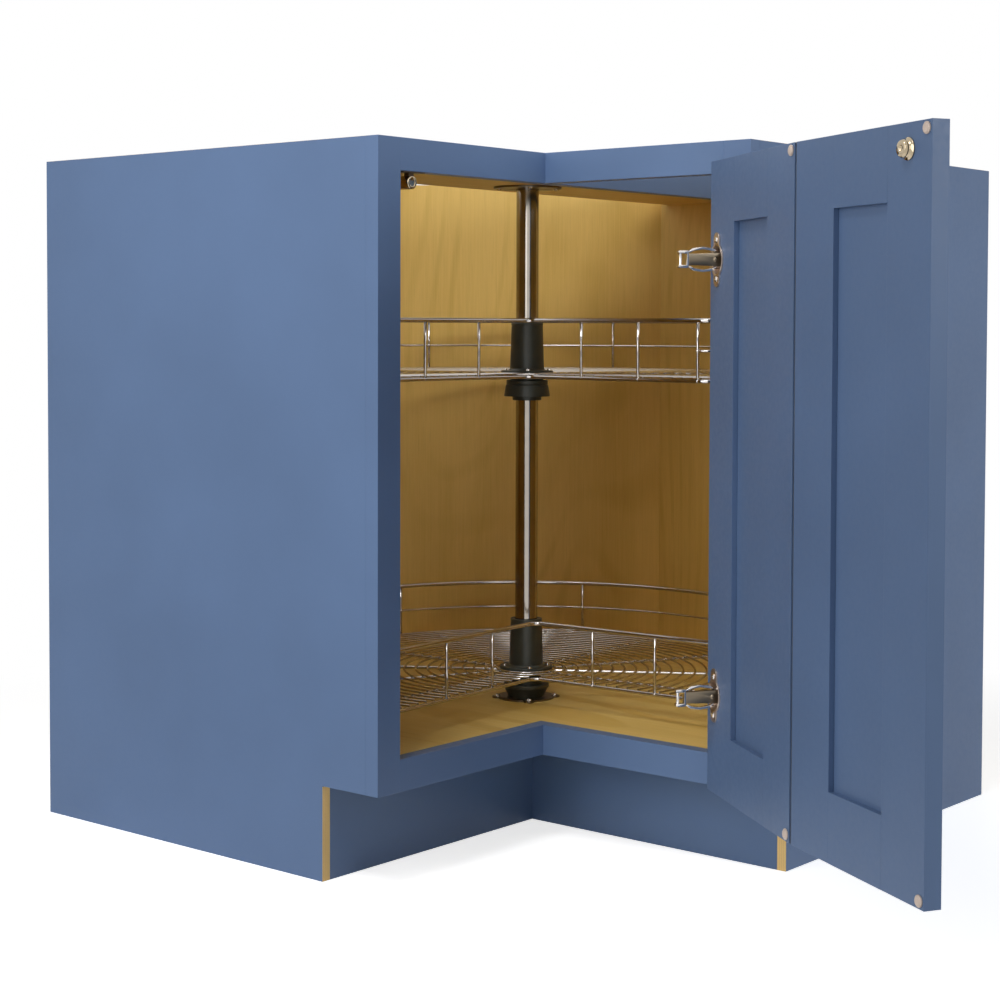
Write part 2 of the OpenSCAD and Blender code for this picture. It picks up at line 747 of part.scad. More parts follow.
// A cup with its flange on the leaf
module open_cup() {
    difference() {
        union() {
            translate([cup_in, 0, 0]) rotate([90, 0, 0]) linear_extrude(flange_t) flange_outline();
            translate([cup_in, -eps, 0]) rotate([-90, 0, 0])
                cylinder(d = cup_d, h = cup_depth + eps, $fn = round_fn);
        }
        translate([cup_in, -flange_t - eps, 0]) rotate([-90, 0, 0])
            cylinder(d = cup_d - 2 * cup_wall, h = cup_depth + flange_t - cup_wall + eps, $fn = round_fn);
        translate([-eps, -flange_t - eps, -eye_h / 2 - lug_gap])
            cube([notch_u + eps, cup_depth + flange_t + 2 * eps, eye_h + 2 * lug_gap]);
        for (s = [-1, 1]) translate([cup_in, eps, s * cup_screw_spread]) rotate([90, 0, 0])
            cylinder(r = small_screw_r + screw_gap, h = flange_t + 2 * eps, $fn = wire_fn);
    }
}

// The cup with the two lugs that carry the pin
module hinge_cup() {
    difference() {
        union() {
            open_cup();
            for (s = [-1, 1]) translate([0, 0, s * (lug_top - lug_t / 2)]) {
                translate([pivot_in, pivot_depth, 0])
                    cylinder(r = eye_r, h = lug_t, center = true, $fn = round_fn);
                translate([pivot_in - eye_r, -flange_t, -lug_t / 2])
                    cube([lug_l, pivot_depth + flange_t, lug_t]);
            }
        }
        translate([pivot_in, pivot_depth, 0]) {
            cylinder(r = hinge_pin_r + pin_gap, h = 4 * lug_top, center = true, $fn = round_fn);
            for (s = [0, 1]) mirror([0, 0, s]) translate([0, 0, lug_top])
                cylinder(r = pin_head_r + pin_gap, h = lug_top, $fn = 32);
        }
    }
}

module hinge_cups() color(nickel) place_inner() at_hinges() hinge_cup();

module hinge_pins() color(chrome) place_inner() at_hinges() translate([pivot_in, pivot_depth, 0]) {
    cylinder(r = hinge_pin_r, h = 2 * lug_top, center = true, $fn = round_fn);
    for (s = [0, 1]) mirror([0, 0, s]) translate([0, 0, lug_top])
        cylinder(r = pin_head_r, h = pin_head_t, $fn = 32);
}

module cup_screws() color(chrome) place_inner() at_hinges()
    for (s = [-1, 1]) translate([cup_in, -flange_t, s * cup_screw_spread]) rotate([90, 0, 0])
        pan_screw(small_screw_r, small_screw_l, small_head_r, small_head_t);

// Extrudes a side view of the hinge along the leaf: its first coordinate is the height, its second the
// distance out of the back face
module side_view(u, thickness) {
    translate([u, 0, 0]) rotate([0, -90, 180]) linear_extrude(thickness) children();
}

// The tapered arm that stands out of the cup, with the head of its pin
module hinge_arms() color(nickel) place_inner() at_hinges() {
    foot = cup_wall - cup_depth;
    side_view(arm_u, arm_t) polygon([
        [-arm_foot, foot], [arm_foot, foot], [arm_foot, 0],
        [arm_tip, arm_end], [-arm_tip, arm_end], [-arm_foot, 0]
    ]);
    translate([arm_u + arm_t - eps, -arm_pin_h, 0]) rotate([0, 90, 0]) rotate_extrude($fn = 32) polygon([
        [0, 0], [arm_pin_r, 0], [arm_pin_r, eps + 0.6], [0.6 * arm_pin_r, eps + 2], [0, eps + 2.3]
    ]);
}

// The forked clip on the end of the arm, with its cross pin
module hinge_clips() color(chrome) place_inner() at_hinges() {
    side_view(arm_u, arm_t) {
        for (s = [0, 1]) mirror([s, 0]) polygon([
            [0, arm_end], [clip_half - 1, arm_end], [clip_half, arm_end + 1], [clip_half, arm_reach - 2],
            [clip_half - 1, arm_reach], [clip_half - clip_lug_t, arm_reach],
            [clip_half - clip_lug_t, arm_end + clip_web_t], [0, arm_end + clip_web_t]
        ]);
    }
    translate([arm_u + arm_t / 2, -clip_pin_h, 0])
        cylinder(r = clip_pin_r, h = 2 * clip_half - 1, center = true, $fn = wire_fn);
}

// The bowed links beside the arm, from just above the flange to the clip
module hinge_links() color(chrome) place_inner() at_hinges() {
    low = flange_t + 1;
    mid = (low + arm_end) / 2;
    near = arm_foot + link_gap;
    side_view(arm_u + (arm_t - link_t) / 2, link_t)
        for (s = [0, 1]) mirror([s, 0]) polygon([
            [near, low + 1], [near + 0.6 * link_bow, low + 6], [near + link_bow, mid],
            [near + 0.6 * link_bow, arm_end - 7], [near, arm_end - 2], [near + 0.3 * link_w, arm_end],
            [near + 0.6 * link_bow + link_w, arm_end - 6], [near + link_bow + link_w, mid],
            [near + 0.6 * link_bow + link_w, low + 5], [near + 0.7 * link_w, low]
        ]);
}

// The plate screwed to the edge of the stile, with the eye that the pin runs in
module at_frame_plates() {
    for (z = hinge_zs) translate([stile_in, -(frame_back + frame_t / 2), leaf_z + z]) children();
}

module hinge_frame_plates() color(nickel) {
    boss_front = -(cabinet_d + boss_step);
    for (z = hinge_zs) translate([0, 0, leaf_z + z]) {
        start = [stile_in - boss_t + 2, boss_front + tongue_t / 2];
        run = [pivot[0] - start[0], pivot[1] - start[1]];
        difference() {
            union() {
                board([stile_in - boss_t, boss_front, -eye_h / 2],
                    [stile_in - plate_t + eps, boss_front + boss_l, eye_h / 2]);
                translate(start) rotate([0, 0, atan2(run[1], run[0])])
                    translate([0, -tongue_t / 2, -eye_h / 2]) cube([norm(run), tongue_t, eye_h]);
                translate([pivot[0], pivot[1], -eye_h / 2]) cylinder(r = eye_r, h = eye_h, $fn = round_fn);
                board([stile_in - plate_t, -cabinet_d, -plate_h / 2], [stile_in, -frame_back, plate_h / 2]);
            }
            translate([pivot[0], pivot[1], -eye_h])
                cylinder(r = hinge_pin_r + pin_gap, h = 2 * eye_h, $fn = round_fn);
            translate([stile_in - plate_t - eps, -(frame_back + frame_t / 2), 0])
                for (s = [-1, 1]) translate([0, 0, s * plate_screw_spread]) rotate([0, 90, 0])
                    cylinder(r = small_screw_r + screw_gap, h = plate_t + 2 * eps, $fn = wire_fn);
        }
    }
}

module frame_plate_screws() color(chrome) at_frame_plates() for (s = [-1, 1])
    translate([-plate_t, 0, s * plate_screw_spread]) rotate([0, -90, 0])
        pan_screw(small_screw_r, small_screw_l, small_head_r, small_head_t);

// ---- the fold hinge between the leaves ----

// One plate with its share of the knuckles, at the right edge of a leaf in leaf coordinates
module fold_plate(first) {
    pitch = leaf_h / knuckles;
    difference() {
        union() {
            translate([0, 2, 0]) cube([fold_plate_t, door_t - 2.1, leaf_h]);
            for (i = [first : 2 : knuckles - 1]) translate([0, 0, i * pitch + 0.25]) {
                translate([edge_gap, door_t + knuckle_r, 0])
                    cylinder(r = knuckle_r, h = pitch - 0.5, $fn = 32);
                translate([0, door_t - 1, 0]) cube([fold_plate_t, knuckle_r + 1, pitch - 0.5]);
            }
        }
        translate([edge_gap, door_t + knuckle_r, -eps])
            cylinder(r = fold_pin_r + pin_gap, h = leaf_h + 2 * eps, $fn = 32);
    }
}

module inner_fold_hinge() color(nickel) place_inner() translate([leaf_w, 0, 0]) fold_plate(0);

module outer_fold_hinge() color(nickel) place_outer() mirror([1, 0, 0]) fold_plate(1);

module fold_hinge_pin() color(chrome) place_outer()
    translate([-edge_gap, door_t + knuckle_r, 0.25]) cylinder(r = fold_pin_r, h = leaf_h - 0.5, $fn = 32);

// ---- bumpers and catch ----

module bumper() {
    rotate([90, 0, 0]) rotate_extrude($fn = 32) polygon([
        [0, 0], [bumper_r, 0], [bumper_r, 0.5 * bumper_h], [0.7 * bumper_r, bumper_h], [0, bumper_h]
    ]);
}

module inner_bumpers() color(rubber) place_inner()
    for (z = [bumper_in, leaf_h - bumper_in]) translate([leaf_w - bumper_in, 0, z]) bumper();

module outer_bumpers() color(rubber) place_outer()
    for (z = [bumper_in, leaf_h - bumper_in]) translate([leaf_w - bumper_in, 0, z]) bumper();

// The round metal strike on the back of the outer leaf
module strike() color(chrome) place_outer()
    translate([leaf_w - strike_in, 0, leaf_h - strike_down]) rotate([90, 0, 0])
    rotate_extrude($fn = round_fn) polygon([
        [0, 0], [strike_r + 2, 0], [strike_r + 2, 1.5], [strike_r, 2.5], [strike_r - 1.5, 4.5],
        [strike_r, 6.5], [strike_r - 1.5, strike_h], [3, strike_h], [2, strike_h - 1.5], [0, strike_h - 1.5]
    ]);

module catch_magnet() color(chrome) translate([magnet_front, catch_y, catch_z]) rotate([0, -90, 0])
    rotate_extrude($fn = round_fn) polygon([
        [0, 1], [magnet_r - 3, 1], [magnet_r - 3, 0], [magnet_r - 0.8, 0], [magnet_r, 0.8],
        [magnet_r, magnet_l], [0, magnet_l]
    ]);

module catch_screw_holes(z, h) {
    for (s = [-1, 1]) translate([(frame_back + cabinet_d) / 2, catch_y + s * catch_screw_spread, z])
        cylinder(r = small_screw_r + screw_gap, h = h, $fn = wire_fn);
}

// The bracket that hangs the magnet under the top rail
module catch_bracket() color(nickel) difference() {
    union() {
        board([frame_back + 3, catch_y - 18, opening_top - 1.5], [cabinet_d - 3, catch_y + 18, opening_top]);
        board([frame_back + 3, catch_y - 4, catch_z], [frame_back + 11, catch_y + 4, opening_top - 1]);
    }
    translate([frame_back, catch_y, catch_z]) rotate([0, 90, 0])
        cylinder(r = magnet_r + screw_gap, h = frame_t, $fn = round_fn);
    catch_screw_holes(opening_top - 2, 3);
}

// ---- nodes ----

left_end_panel();
right_end_panel();
floor_panel();
left_back_panel();
right_back_panel();
diagonal_back_panel();
left_stile();
right_stile();
left_top_rail();
right_top_rail();
left_bottom_rail();
right_bottom_rail();
left_toe_board();
right_toe_board();
floor_cleats();
bearing_board();
base_plate();
base_screws();
lower_bearing();
post();
support_collar();
collar_screw();
top_plate();
top_screws();
hinge_frame_plates();
frame_plate_screws();
catch_bracket();
catch_magnet();
inner_hinge_stile();
inner_joint_stile();
inner_top_rail();
inner_bottom_rail();
inner_panel();
hinge_cups();
hinge_arms();
hinge_clips();
hinge_links();
hinge_pins();
cup_screws();
inner_fold_hinge();
inner_bumpers();
outer_joint_stile();
outer_free_stile();
outer_top_rail();
outer_bottom_rail();
outer_panel();
outer_fold_hinge();
fold_hinge_pin();
outer_bumpers();
strike();
lower_wall_wires();
lower_floor_a();
lower_floor_b();
lower_floor_c();
lower_hub();
upper_wall_wires();
upper_floor_a();
upper_floor_b();
upper_floor_c();
upper_hub();
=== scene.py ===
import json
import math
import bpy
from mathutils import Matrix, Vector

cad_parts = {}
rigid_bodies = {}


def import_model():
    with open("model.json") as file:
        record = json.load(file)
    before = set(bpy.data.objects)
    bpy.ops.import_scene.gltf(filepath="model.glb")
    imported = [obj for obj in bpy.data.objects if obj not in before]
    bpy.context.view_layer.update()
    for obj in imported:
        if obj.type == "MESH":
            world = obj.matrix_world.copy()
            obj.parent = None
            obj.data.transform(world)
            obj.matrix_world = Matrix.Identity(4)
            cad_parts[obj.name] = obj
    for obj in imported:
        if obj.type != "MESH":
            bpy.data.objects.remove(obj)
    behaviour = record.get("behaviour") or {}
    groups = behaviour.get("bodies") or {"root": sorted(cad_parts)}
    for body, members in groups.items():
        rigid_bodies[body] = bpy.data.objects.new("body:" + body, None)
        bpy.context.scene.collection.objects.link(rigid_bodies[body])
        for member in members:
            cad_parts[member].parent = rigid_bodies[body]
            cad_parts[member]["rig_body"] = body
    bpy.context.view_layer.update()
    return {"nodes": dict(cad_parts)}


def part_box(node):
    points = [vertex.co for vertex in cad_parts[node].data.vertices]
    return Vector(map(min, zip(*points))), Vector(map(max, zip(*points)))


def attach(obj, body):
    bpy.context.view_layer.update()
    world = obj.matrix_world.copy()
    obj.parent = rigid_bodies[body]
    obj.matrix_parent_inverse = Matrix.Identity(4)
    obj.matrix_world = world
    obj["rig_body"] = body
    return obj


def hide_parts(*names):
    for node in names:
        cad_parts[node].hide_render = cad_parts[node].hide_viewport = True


bl_info = {
    "name": "Corner Carousel Cabinet",
    "version": (1, 1, 0),
    "blender": (4, 5, 0),
    "location": "View3D > Sidebar > Cabinet",
    "description": "Finishes the packed corner cabinet with paint, birch, chrome and a pale stage",
    "category": "Object",
}

import bmesh
import bpy
from mathutils import Matrix, Vector

for stray in list(bpy.data.objects):
    bpy.data.objects.remove(stray)
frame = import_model()
NODES = frame["nodes"]

MM = 0.001


# ---- shader helpers ----

# A face counts as facing along a direction where the two agree by more than this
FACING = 0.6
# The band of a noise pattern that carries most of its contrast
BAND = (0.3, 0.7)


class Finish:
    """The node tree of one material, with short calls for the nodes that the finishes share."""

    def __init__(self, name):
        self.material = bpy.data.materials.new(name)
        self.material.use_nodes = True
        self.tree = self.material.node_tree
        self.tree.nodes.clear()
        self.place = self.add("ShaderNodeTexCoord")

    def add(self, kind, inputs=None, **settings):
        """A node with its settings, its input values and its links."""
        made = self.tree.nodes.new(kind)
        for key, value in settings.items():
            setattr(made, key, value)
        for key, value in (inputs or {}).items():
            socket = made.inputs[key]
            if isinstance(value, bpy.types.NodeSocket):
                self.tree.links.new(value, socket)
            else:
                socket.default_value = value
        return made

    def spread(self, scale):
        """Object coordinates scaled along each axis."""
        mapping = self.add("ShaderNodeMapping", {"Vector": self.place.outputs["Object"], "Scale": scale})
        return mapping.outputs["Vector"]

    def height(self):
        """The height above the ground."""
        return self.add("ShaderNodeSeparateXYZ", {"Vector": self.place.outputs["Object"]}).outputs["Z"]

    def noise(self, vector, scale, detail=3, rough=0.5, distortion=0.0):
        """A noise with the scale given as waves a metre."""
        inputs = {"Vector": vector, "Scale": scale, "Detail": detail, "Roughness": rough}
        return self.add("ShaderNodeTexNoise", {**inputs, "Distortion": distortion}).outputs["Fac"]

    def remap(self, value, low, high, to_low=0.0, to_high=1.0):
        """The value from one range to another, held at its ends."""
        return self.add(
            "ShaderNodeMapRange",
            {"Value": value, "From Min": low, "From Max": high, "To Min": to_low, "To Max": to_high},
        ).outputs["Result"]

    def band(self, value, to_low=0.0, to_high=1.0):
        """The band of a noise pattern taken to a range."""
        return self.remap(value, *BAND, to_low, to_high)

    def maths(self, operation, *values):
        """The operation on one or two values."""
        return self.add("ShaderNodeMath", dict(enumerate(values)), operation=operation).outputs[0]

    def mix(self, factor, first, second):
        """Two colours mixed; inputs 6 and 7 and output 2 are the colour ones of the Mix node."""
        made = self.add("ShaderNodeMix", {"Factor": factor}, data_type="RGBA")
        for index, value in ((6, first), (7, second)):
            if isinstance(value, bpy.types.NodeSocket):
                self.tree.links.new(value, made.inputs[index])
            else:
                made.inputs[index].default_value = (*value[:3], 1)
        return made.outputs[2]

    def facing(self, direction):
        """1 where the surface faces along the direction, 0 elsewhere, in the object's own coordinates."""
        inputs = {0: self.place.outputs["Normal"], 1: direction}
        dot = self.add("ShaderNodeVectorMath", inputs, operation="DOT_PRODUCT")
        return self.maths("GREATER_THAN", dot.outputs["Value"], FACING)

    def bump(self, height, strength, distance):
        """A normal that follows the height."""
        return self.add(
            "ShaderNodeBump", {"Height": height, "Strength": strength, "Distance": distance}
        ).outputs["Normal"]

    def finish(self, inputs):
        """The surface shader with these inputs; returns the material."""
        surface = self.add("ShaderNodeBsdfPrincipled", inputs)
        output = self.add("ShaderNodeOutputMaterial")
        self.tree.links.new(surface.outputs["BSDF"], output.inputs["Surface"])
        return self.material


def seen_rays(tree):
    """1 for the rays that show the stage itself: to the camera, in a mirror and through glass."""
    path = tree.nodes.new("ShaderNodeLightPath")
    total = path.outputs["Is Camera Ray"]
    for kind in ("Is Glossy Ray", "Is Transmission Ray"):
        added = tree.nodes.new("ShaderNodeMath")
        added.operation, added.use_clamp = "ADD", True
        tree.links.new(total, added.inputs[0])
        tree.links.new(path.outputs[kind], added.inputs[1])
        total = added.outputs[0]
    return total


# ---- settings ----


def tint(name, description, default):
    """A colour setting."""
    return bpy.props.FloatVectorProperty(
        name=name, description=description, subtype="COLOR", size=3, min=0, max=1, default=default
    )


def share(name, description, default):
    """A setting from 0 to 1."""
    return bpy.props.FloatProperty(
        name=name, description=description, default=default, min=0, max=1, subtype="FACTOR"
    )


def span(name, description, default, least, most):
    """A length, given in millimetres."""
    return bpy.props.FloatProperty(
        name=name, description=description, default=default * MM, min=least * MM, max=most * MM, unit="LENGTH"
    )


def power(name, description, default):
    """The power of a lamp."""
    return bpy.props.FloatProperty(
        name=name, description=description, default=default, min=0, max=1000, unit="POWER"
    )


class CabinetPaint(bpy.types.PropertyGroup):
    """Colour and sheen of the painted boards"""

    colour: tint("Paint colour", "Colour of the painted boards", (0.112, 0.182, 0.330))
    # Painted shade: the leaves take the box's paint darkened to this share, for the shade the open leaves
    # stand in
    leaves: share("Leaf shade", "How much of that colour's brightness the door leaves have", 0.84)
    roughness: share("Paint roughness", "Roughness of the satin paint", 0.42)
    easing: span("Eased edge", "Width of the rounding along a board's edges", 0.35, 0.1, 3)


class CabinetWood(bpy.types.PropertyGroup):
    """Tones of the birch; the inside and floor tones carry painted light"""

    # The inside tones are the birch deepened to a strong amber: partly its own colour, partly painted light
    # for the warm light bounced round inside the cabinet
    light: tint("Light birch", "Pale tone of the birch veneer", (0.82, 0.56, 0.17))
    dark: tint("Dark birch", "Deep tone of the birch figure", (0.57, 0.36, 0.07))
    # Painted light: the floor's tones are the birch made paler for the light that falls on the floor
    floor: tint("Floor birch", "Pale tone of the floor's veneer", (1.0, 0.76, 0.28))
    floor_deep_painted_light: tint("Floor figure", "Deep tone of the floor's veneer", (0.76, 0.51, 0.13))
    edge: tint("Raw edge", "Colour of a raw plywood edge", (1.0, 0.68, 0.27))
    outside: tint("Outside birch", "Pale tone of the bare outside of the backs", (0.95, 0.72, 0.40))
    outside_dark: tint("Outside figure", "Deep tone of the bare outside of the backs", (0.74, 0.51, 0.24))


class CabinetMetal(bpy.types.PropertyGroup):
    """Colours of the metal fittings; the post's and the strike's carry painted reflection, and the dark plate
    painted shade on the fold hinges
    """

    chrome: tint("Chrome", "Colour of the chromed wire", (0.56, 0.53, 0.50))
    # The post's chrome is darkened and warmed: painted reflection of the birch and the shade round it
    post: tint("Post", "Colour of the chromed post", (0.44, 0.40, 0.35))
    bright: tint("Bright chrome", "Colour of the polished hinge links and screws", (0.80, 0.77, 0.73))
    # The strike's and the magnet's golden brown is painted reflection of the birch round them on their chrome
    strike: tint("Strike", "Colour of the strike and the catch magnet", (0.50, 0.41, 0.28))
    nickel: tint("Nickel", "Colour of the nickel-plated hinge flanges", (0.62, 0.52, 0.45))
    # Dark plate of the hinge arms and plates; on the fold hinges it is painted shade for the shaded joint
    # between the leaves
    dark_metal_and_joint_shade: tint("Dark plate", "Colour of the dark hinge arms and base plate", (0.20, 0.165, 0.12))
    relief: span("Broken edge", "Width of the rounding along the edges of the metal parts", 0.25, 0.05, 1)


class CabinetPlastic(bpy.types.PropertyGroup):
    """Colours of the plastic parts"""

    hub: tint("Hub", "Colour of the plastic hubs and bearings", (0.040, 0.043, 0.032))
    bumper: tint("Bumper", "Colour of the door bumpers", (0.58, 0.47, 0.40))


class CabinetShelves(bpy.types.PropertyGroup):
    """Sizes of the wire walls"""

    radius: span("Shelf radius", "Radius of the wire walls", 355.6, 300, 365)
    cut: span("Cut offset", "Distance from the post to each side of the pie cut", 47.8, 45, 60)
    bend: span("Bend radius", "Bend radius of the wall wires at the corners", 15, 12, 20)
    wall: span("Wall height", "Height of the wire wall", 75, 60, 100)
    first_upright: span("First upright", "Distance from the post to the cut's first upright", 142, 100, 170)
    round_uprights: bpy.props.IntProperty(
        name="Round wall uprights", description="Upright wires in the round wall", default=6, min=5, max=8
    )
    cut_uprights: bpy.props.IntProperty(
        name="Cut uprights", description="Upright wires along each side of the cut", default=3, min=2, max=5
    )


class CabinetStage(bpy.types.PropertyGroup):
    """Floor and lamps"""

    floor: tint("Floor", "Colour of the floor", (0.92, 0.92, 0.92))
    fill: share("Floor fill", "How far the floor near the cabinet is lifted towards white", 0.68)
    sky: bpy.props.FloatProperty(
        name="Even light", description="Strength of the even light all round", default=0.06, min=0, max=2
    )
    key: power("Key light", "Power of the large lamp in front on the left", 31)
    near: power("Near light", "Power of the lamp beside the camera", 9)
    side: power("Side light", "Power of the lamp on the right", 26)
    top: power("Top light", "Power of the lamp over the open top", 0.9)
    high: power("High light", "Power of the lamp high up in front", 2.9)


# ---- pieces ----

# Points nearer than this are merged, and faces within this angle of each other are one flat
MERGE_REACH = 0.01 * MM
FLAT_ANGLE = math.radians(1)
# A board's edge is eased where it turns by more than this and is longer than this
BOARD_ANGLE, BOARD_EDGE = math.radians(60), 5 * MM
# A metal edge is broken where it turns by more than this
METAL_ANGLE = math.radians(32)

PAINTED_BOX = (
    "left_stile right_stile left_top_rail right_top_rail left_bottom_rail right_bottom_rail left_toe_board "
    "right_toe_board"
).split()
PAINTED_LEAVES = (
    "inner_hinge_stile inner_joint_stile inner_top_rail inner_bottom_rail inner_panel outer_joint_stile "
    "outer_free_stile outer_top_rail outer_bottom_rail outer_panel"
).split()
WIRE_FLOORS = [f"{tier}_floor_{third}" for tier in ("lower", "upper") for third in "abc"]


def body_of(node):
    """The body that a CAD node rides on."""
    return NODES[node]["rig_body"]


def coat(piece, material):
    """The piece's only material."""
    piece.data.materials.clear()
    piece.data.materials.append(material)


def coat_node(node, material):
    """A CAD node's material, set on its object."""
    for slot in NODES[node].material_slots:
        slot.link = "OBJECT"
        slot.material = material


def new_piece(name, shape, body, material, *replaced):
    """A piece from a bmesh, riding on its body and standing for the CAD nodes named."""
    mesh = bpy.data.meshes.new(name)
    shape.to_mesh(mesh)
    shape.free()
    piece = bpy.data.objects.new(name, mesh)
    bpy.context.scene.collection.objects.link(piece)
    coat(piece, material)
    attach(piece, body)
    if replaced:
        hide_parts(*replaced)
    return piece


def copy_of(node):
    """A bmesh of a CAD node with its loose triangles merged into whole faces."""
    shape = bmesh.new()
    shape.from_mesh(NODES[node].data)
    bmesh.ops.remove_doubles(shape, verts=shape.verts, dist=MERGE_REACH)
    bmesh.ops.dissolve_limit(shape, angle_limit=FLAT_ANGLE, verts=shape.verts, edges=shape.edges)
    return shape


def eased_board(node, material, width):
    """A copy of a board with its long edges eased, which stands for the node."""
    shape = copy_of(node)
    sharp = [
        e for e in shape.edges
        if len(e.link_faces) == 2 and e.calc_face_angle() > BOARD_ANGLE and e.calc_length() > BOARD_EDGE
    ]
    flats = set(shape.faces)
    made = bmesh.ops.bevel(
        shape, geom=sharp, offset=width, segments=3, profile=0.5, affect="EDGES", material=-1,
        clamp_overlap=True,
    )
    for face in made["faces"]:
        face.smooth = True
    for face in flats:
        if face.is_valid:
            face.smooth = False
    return new_piece(node + "_board", shape, body_of(node), material, node)


def break_edges(piece, width):
    """Rounds a piece's sharp edges and keeps its flats flat in the light."""
    for face in piece.data.polygons:
        face.use_smooth = True
    rounding = piece.modifiers.new("broken_edges", "BEVEL")
    rounding.width, rounding.segments = width, 2
    rounding.limit_method, rounding.angle_limit = "ANGLE", METAL_ANGLE
    rounding.harden_normals = True
    return piece


def refined(node, material, width):
    """A copy of a small metal part with its edges broken, which stands for the node."""
    return break_edges(new_piece(node + "_part", copy_of(node), body_of(node), material, node), width)


# ---- painted boards ----

# How strongly the satin paint mirrors its surroundings, and how far specks shift its roughness
PAINT_SHINE, PAINT_SHEEN = 0.3, (-0.05, 0.06)
# Waves a metre of the paint's broad clouds, of the specks in its sheen and of the roller's grain
PAINT_CLOUD, PAINT_SPECK, PAINT_ROLLER = 5, 160, 620
# How far the clouds shift the paint's brightness to either side
PAINT_DRIFT = 0.06
# Depth of the fine relief on paint and veneer, and its strength on paint alone and on an end panel
FINE_RELIEF, PAINT_BUMP, END_BUMP = 0.12 * MM, 0.12, 0.15


def paint_surface(finish, base, roughness):
    """Satin paint: colour, roughness and bump inputs."""
    where = finish.place.outputs["Object"]
    cloud = finish.noise(where, PAINT_CLOUD)
    speck = finish.noise(where, PAINT_SPECK, detail=2)
    roller = finish.noise(where, PAINT_ROLLER, detail=2, rough=0.6)
    deep = [c * (1 - PAINT_DRIFT) for c in base]
    pale = [min(1, c * (1 + PAINT_DRIFT)) for c in base]
    rough = finish.band(speck, *(roughness + shift for shift in PAINT_SHEEN))
    return finish.mix(finish.band(cloud), deep, pale), rough, roller


def satin_paint(name, base, roughness):
    """The material of a board painted all over."""
    finish = Finish(name)
    colour, rough, roller = paint_surface(finish, base, roughness)
    return finish.finish(
        {
            "Base Color": colour,
            "Roughness": rough,
            "Specular IOR Level": PAINT_SHINE,
            "Normal": finish.bump(roller, PAINT_BUMP, FINE_RELIEF),
        }
    )


class CABINET_OT_painted_boards(bpy.types.Operator):
    """Eases and paints the face frame, the toe boards and the two door leaves"""

    bl_idname = "cabinet.painted_boards"
    bl_label = "Painted boards"

    def execute(self, context):
        settings = context.scene.cabinet_paint
        box = satin_paint("blue_satin_paint", settings.colour, settings.roughness)
        # The leaves' paint is the box's colour darkened: painted shade on the open leaves
        leaf_painted_shade_colour = [c * settings.leaves for c in settings.colour]
        leaf = satin_paint("blue_leaf_paint", leaf_painted_shade_colour, settings.roughness)
        for nodes, material in ((PAINTED_BOX, box), (PAINTED_LEAVES, leaf)):
            for node in nodes:
                eased_board(node, material, settings.easing)
        return {"FINISHED"}


# ---- birch ----

# How much a pattern's waves are drawn out along the grain: the broad ones and the fine ones
BROAD_DRAW, FINE_DRAW = 0.22, 0.02
# Waves a metre of the veneer's clouds, of the swirl that its rings follow, of the patches where the rings
# show, of its fibres and of its pores
WOOD_CLOUD, WOOD_SWIRL, WOOD_PATCH, WOOD_FIBRE, WOOD_PORE = 5, 3.4, 7, 420, 1300
# How many radians of rings one step of the swirl runs through
RING_PACE = 150
# The bands of the rings, the pores, the patches and the fibres that show
RING_BAND, PORE_BAND, PATCH_BAND, FIBRE_BAND = (0.2, 1), (0.62, 0.72), (0.35, 0.6), (0.2, 0.8)
# How strongly the rings show on the backs and the end panels, and the roughness of the veneer
BACK_FIGURE, VENEER_SHEEN = 0.25, (0.38, 0.52)
# How far clouds and fibres take the veneer from its pale tone to its deep one
CLOUD_SHARE, FIBRE_SHARE = 0.7, 0.2
PORE_COLOUR, PORE_SHARE = (0.1, 0.06, 0.02), 0.1
# Thickness of a light and a dark ply together, waves a metre of the sawn grain, and the deep tone's shade
PLY_PAIR, SAWN_GRAIN, PLY_SHADE = 2.8 * MM, 700, 0.72
# The band of the plies that shows, and how far plies and sawn grain take the edge to its deep tone
PLY_BAND, PLY_SHARE, SAWN_SHARE = (-0.4, 0.6), 0.3, 0.25
# How much rougher bare birch is than the paint beside it, and the depth and strength of a veneer's fibres
BARE_ROUGHER, VENEER_RELIEF, VENEER_BUMP = 0.12, 0.1 * MM, 0.2
# Half of the square root of two, for the directions of the diagonal back
DIAGONAL = 0.7071


def wood_grain(finish, along, light, dark, figure):
    """Birch veneer between two tones with its grain along the axis given: 0 is x, 1 is y and 2 is z. Figure
    says how strongly the rings of the sheet show. Returns colour and height."""
    broad, fine = [1.0] * 3, [1.0] * 3
    broad[along], fine[along] = BROAD_DRAW, FINE_DRAW
    cloud = finish.noise(finish.spread(broad), WOOD_CLOUD, detail=4, rough=0.55, distortion=0.8)
    swirl = finish.noise(finish.spread(broad), WOOD_SWIRL, detail=1.2, rough=0.4, distortion=0.5)
    rings = finish.remap(finish.maths("SINE", finish.maths("MULTIPLY", swirl, RING_PACE)), *RING_BAND)
    fibre = finish.noise(finish.spread(fine), WOOD_FIBRE, detail=2, rough=0.7)
    pores = finish.remap(finish.noise(finish.spread(fine), WOOD_PORE, detail=1), *PORE_BAND)
    patches = finish.remap(finish.noise(finish.place.outputs["Object"], WOOD_PATCH, detail=2), *PATCH_BAND)
    rings = finish.maths("MULTIPLY", rings, finish.maths("MULTIPLY", patches, figure))
    depth = finish.maths("ADD", finish.band(cloud, 0, CLOUD_SHARE), rings)
    depth = finish.maths("ADD", depth, finish.band(fibre, 0, FIBRE_SHARE))
    colour = finish.mix(depth, light, dark)
    colour = finish.mix(finish.maths("MULTIPLY", pores, PORE_SHARE), colour, PORE_COLOUR)
    return colour, finish.maths("SUBTRACT", fibre, pores)


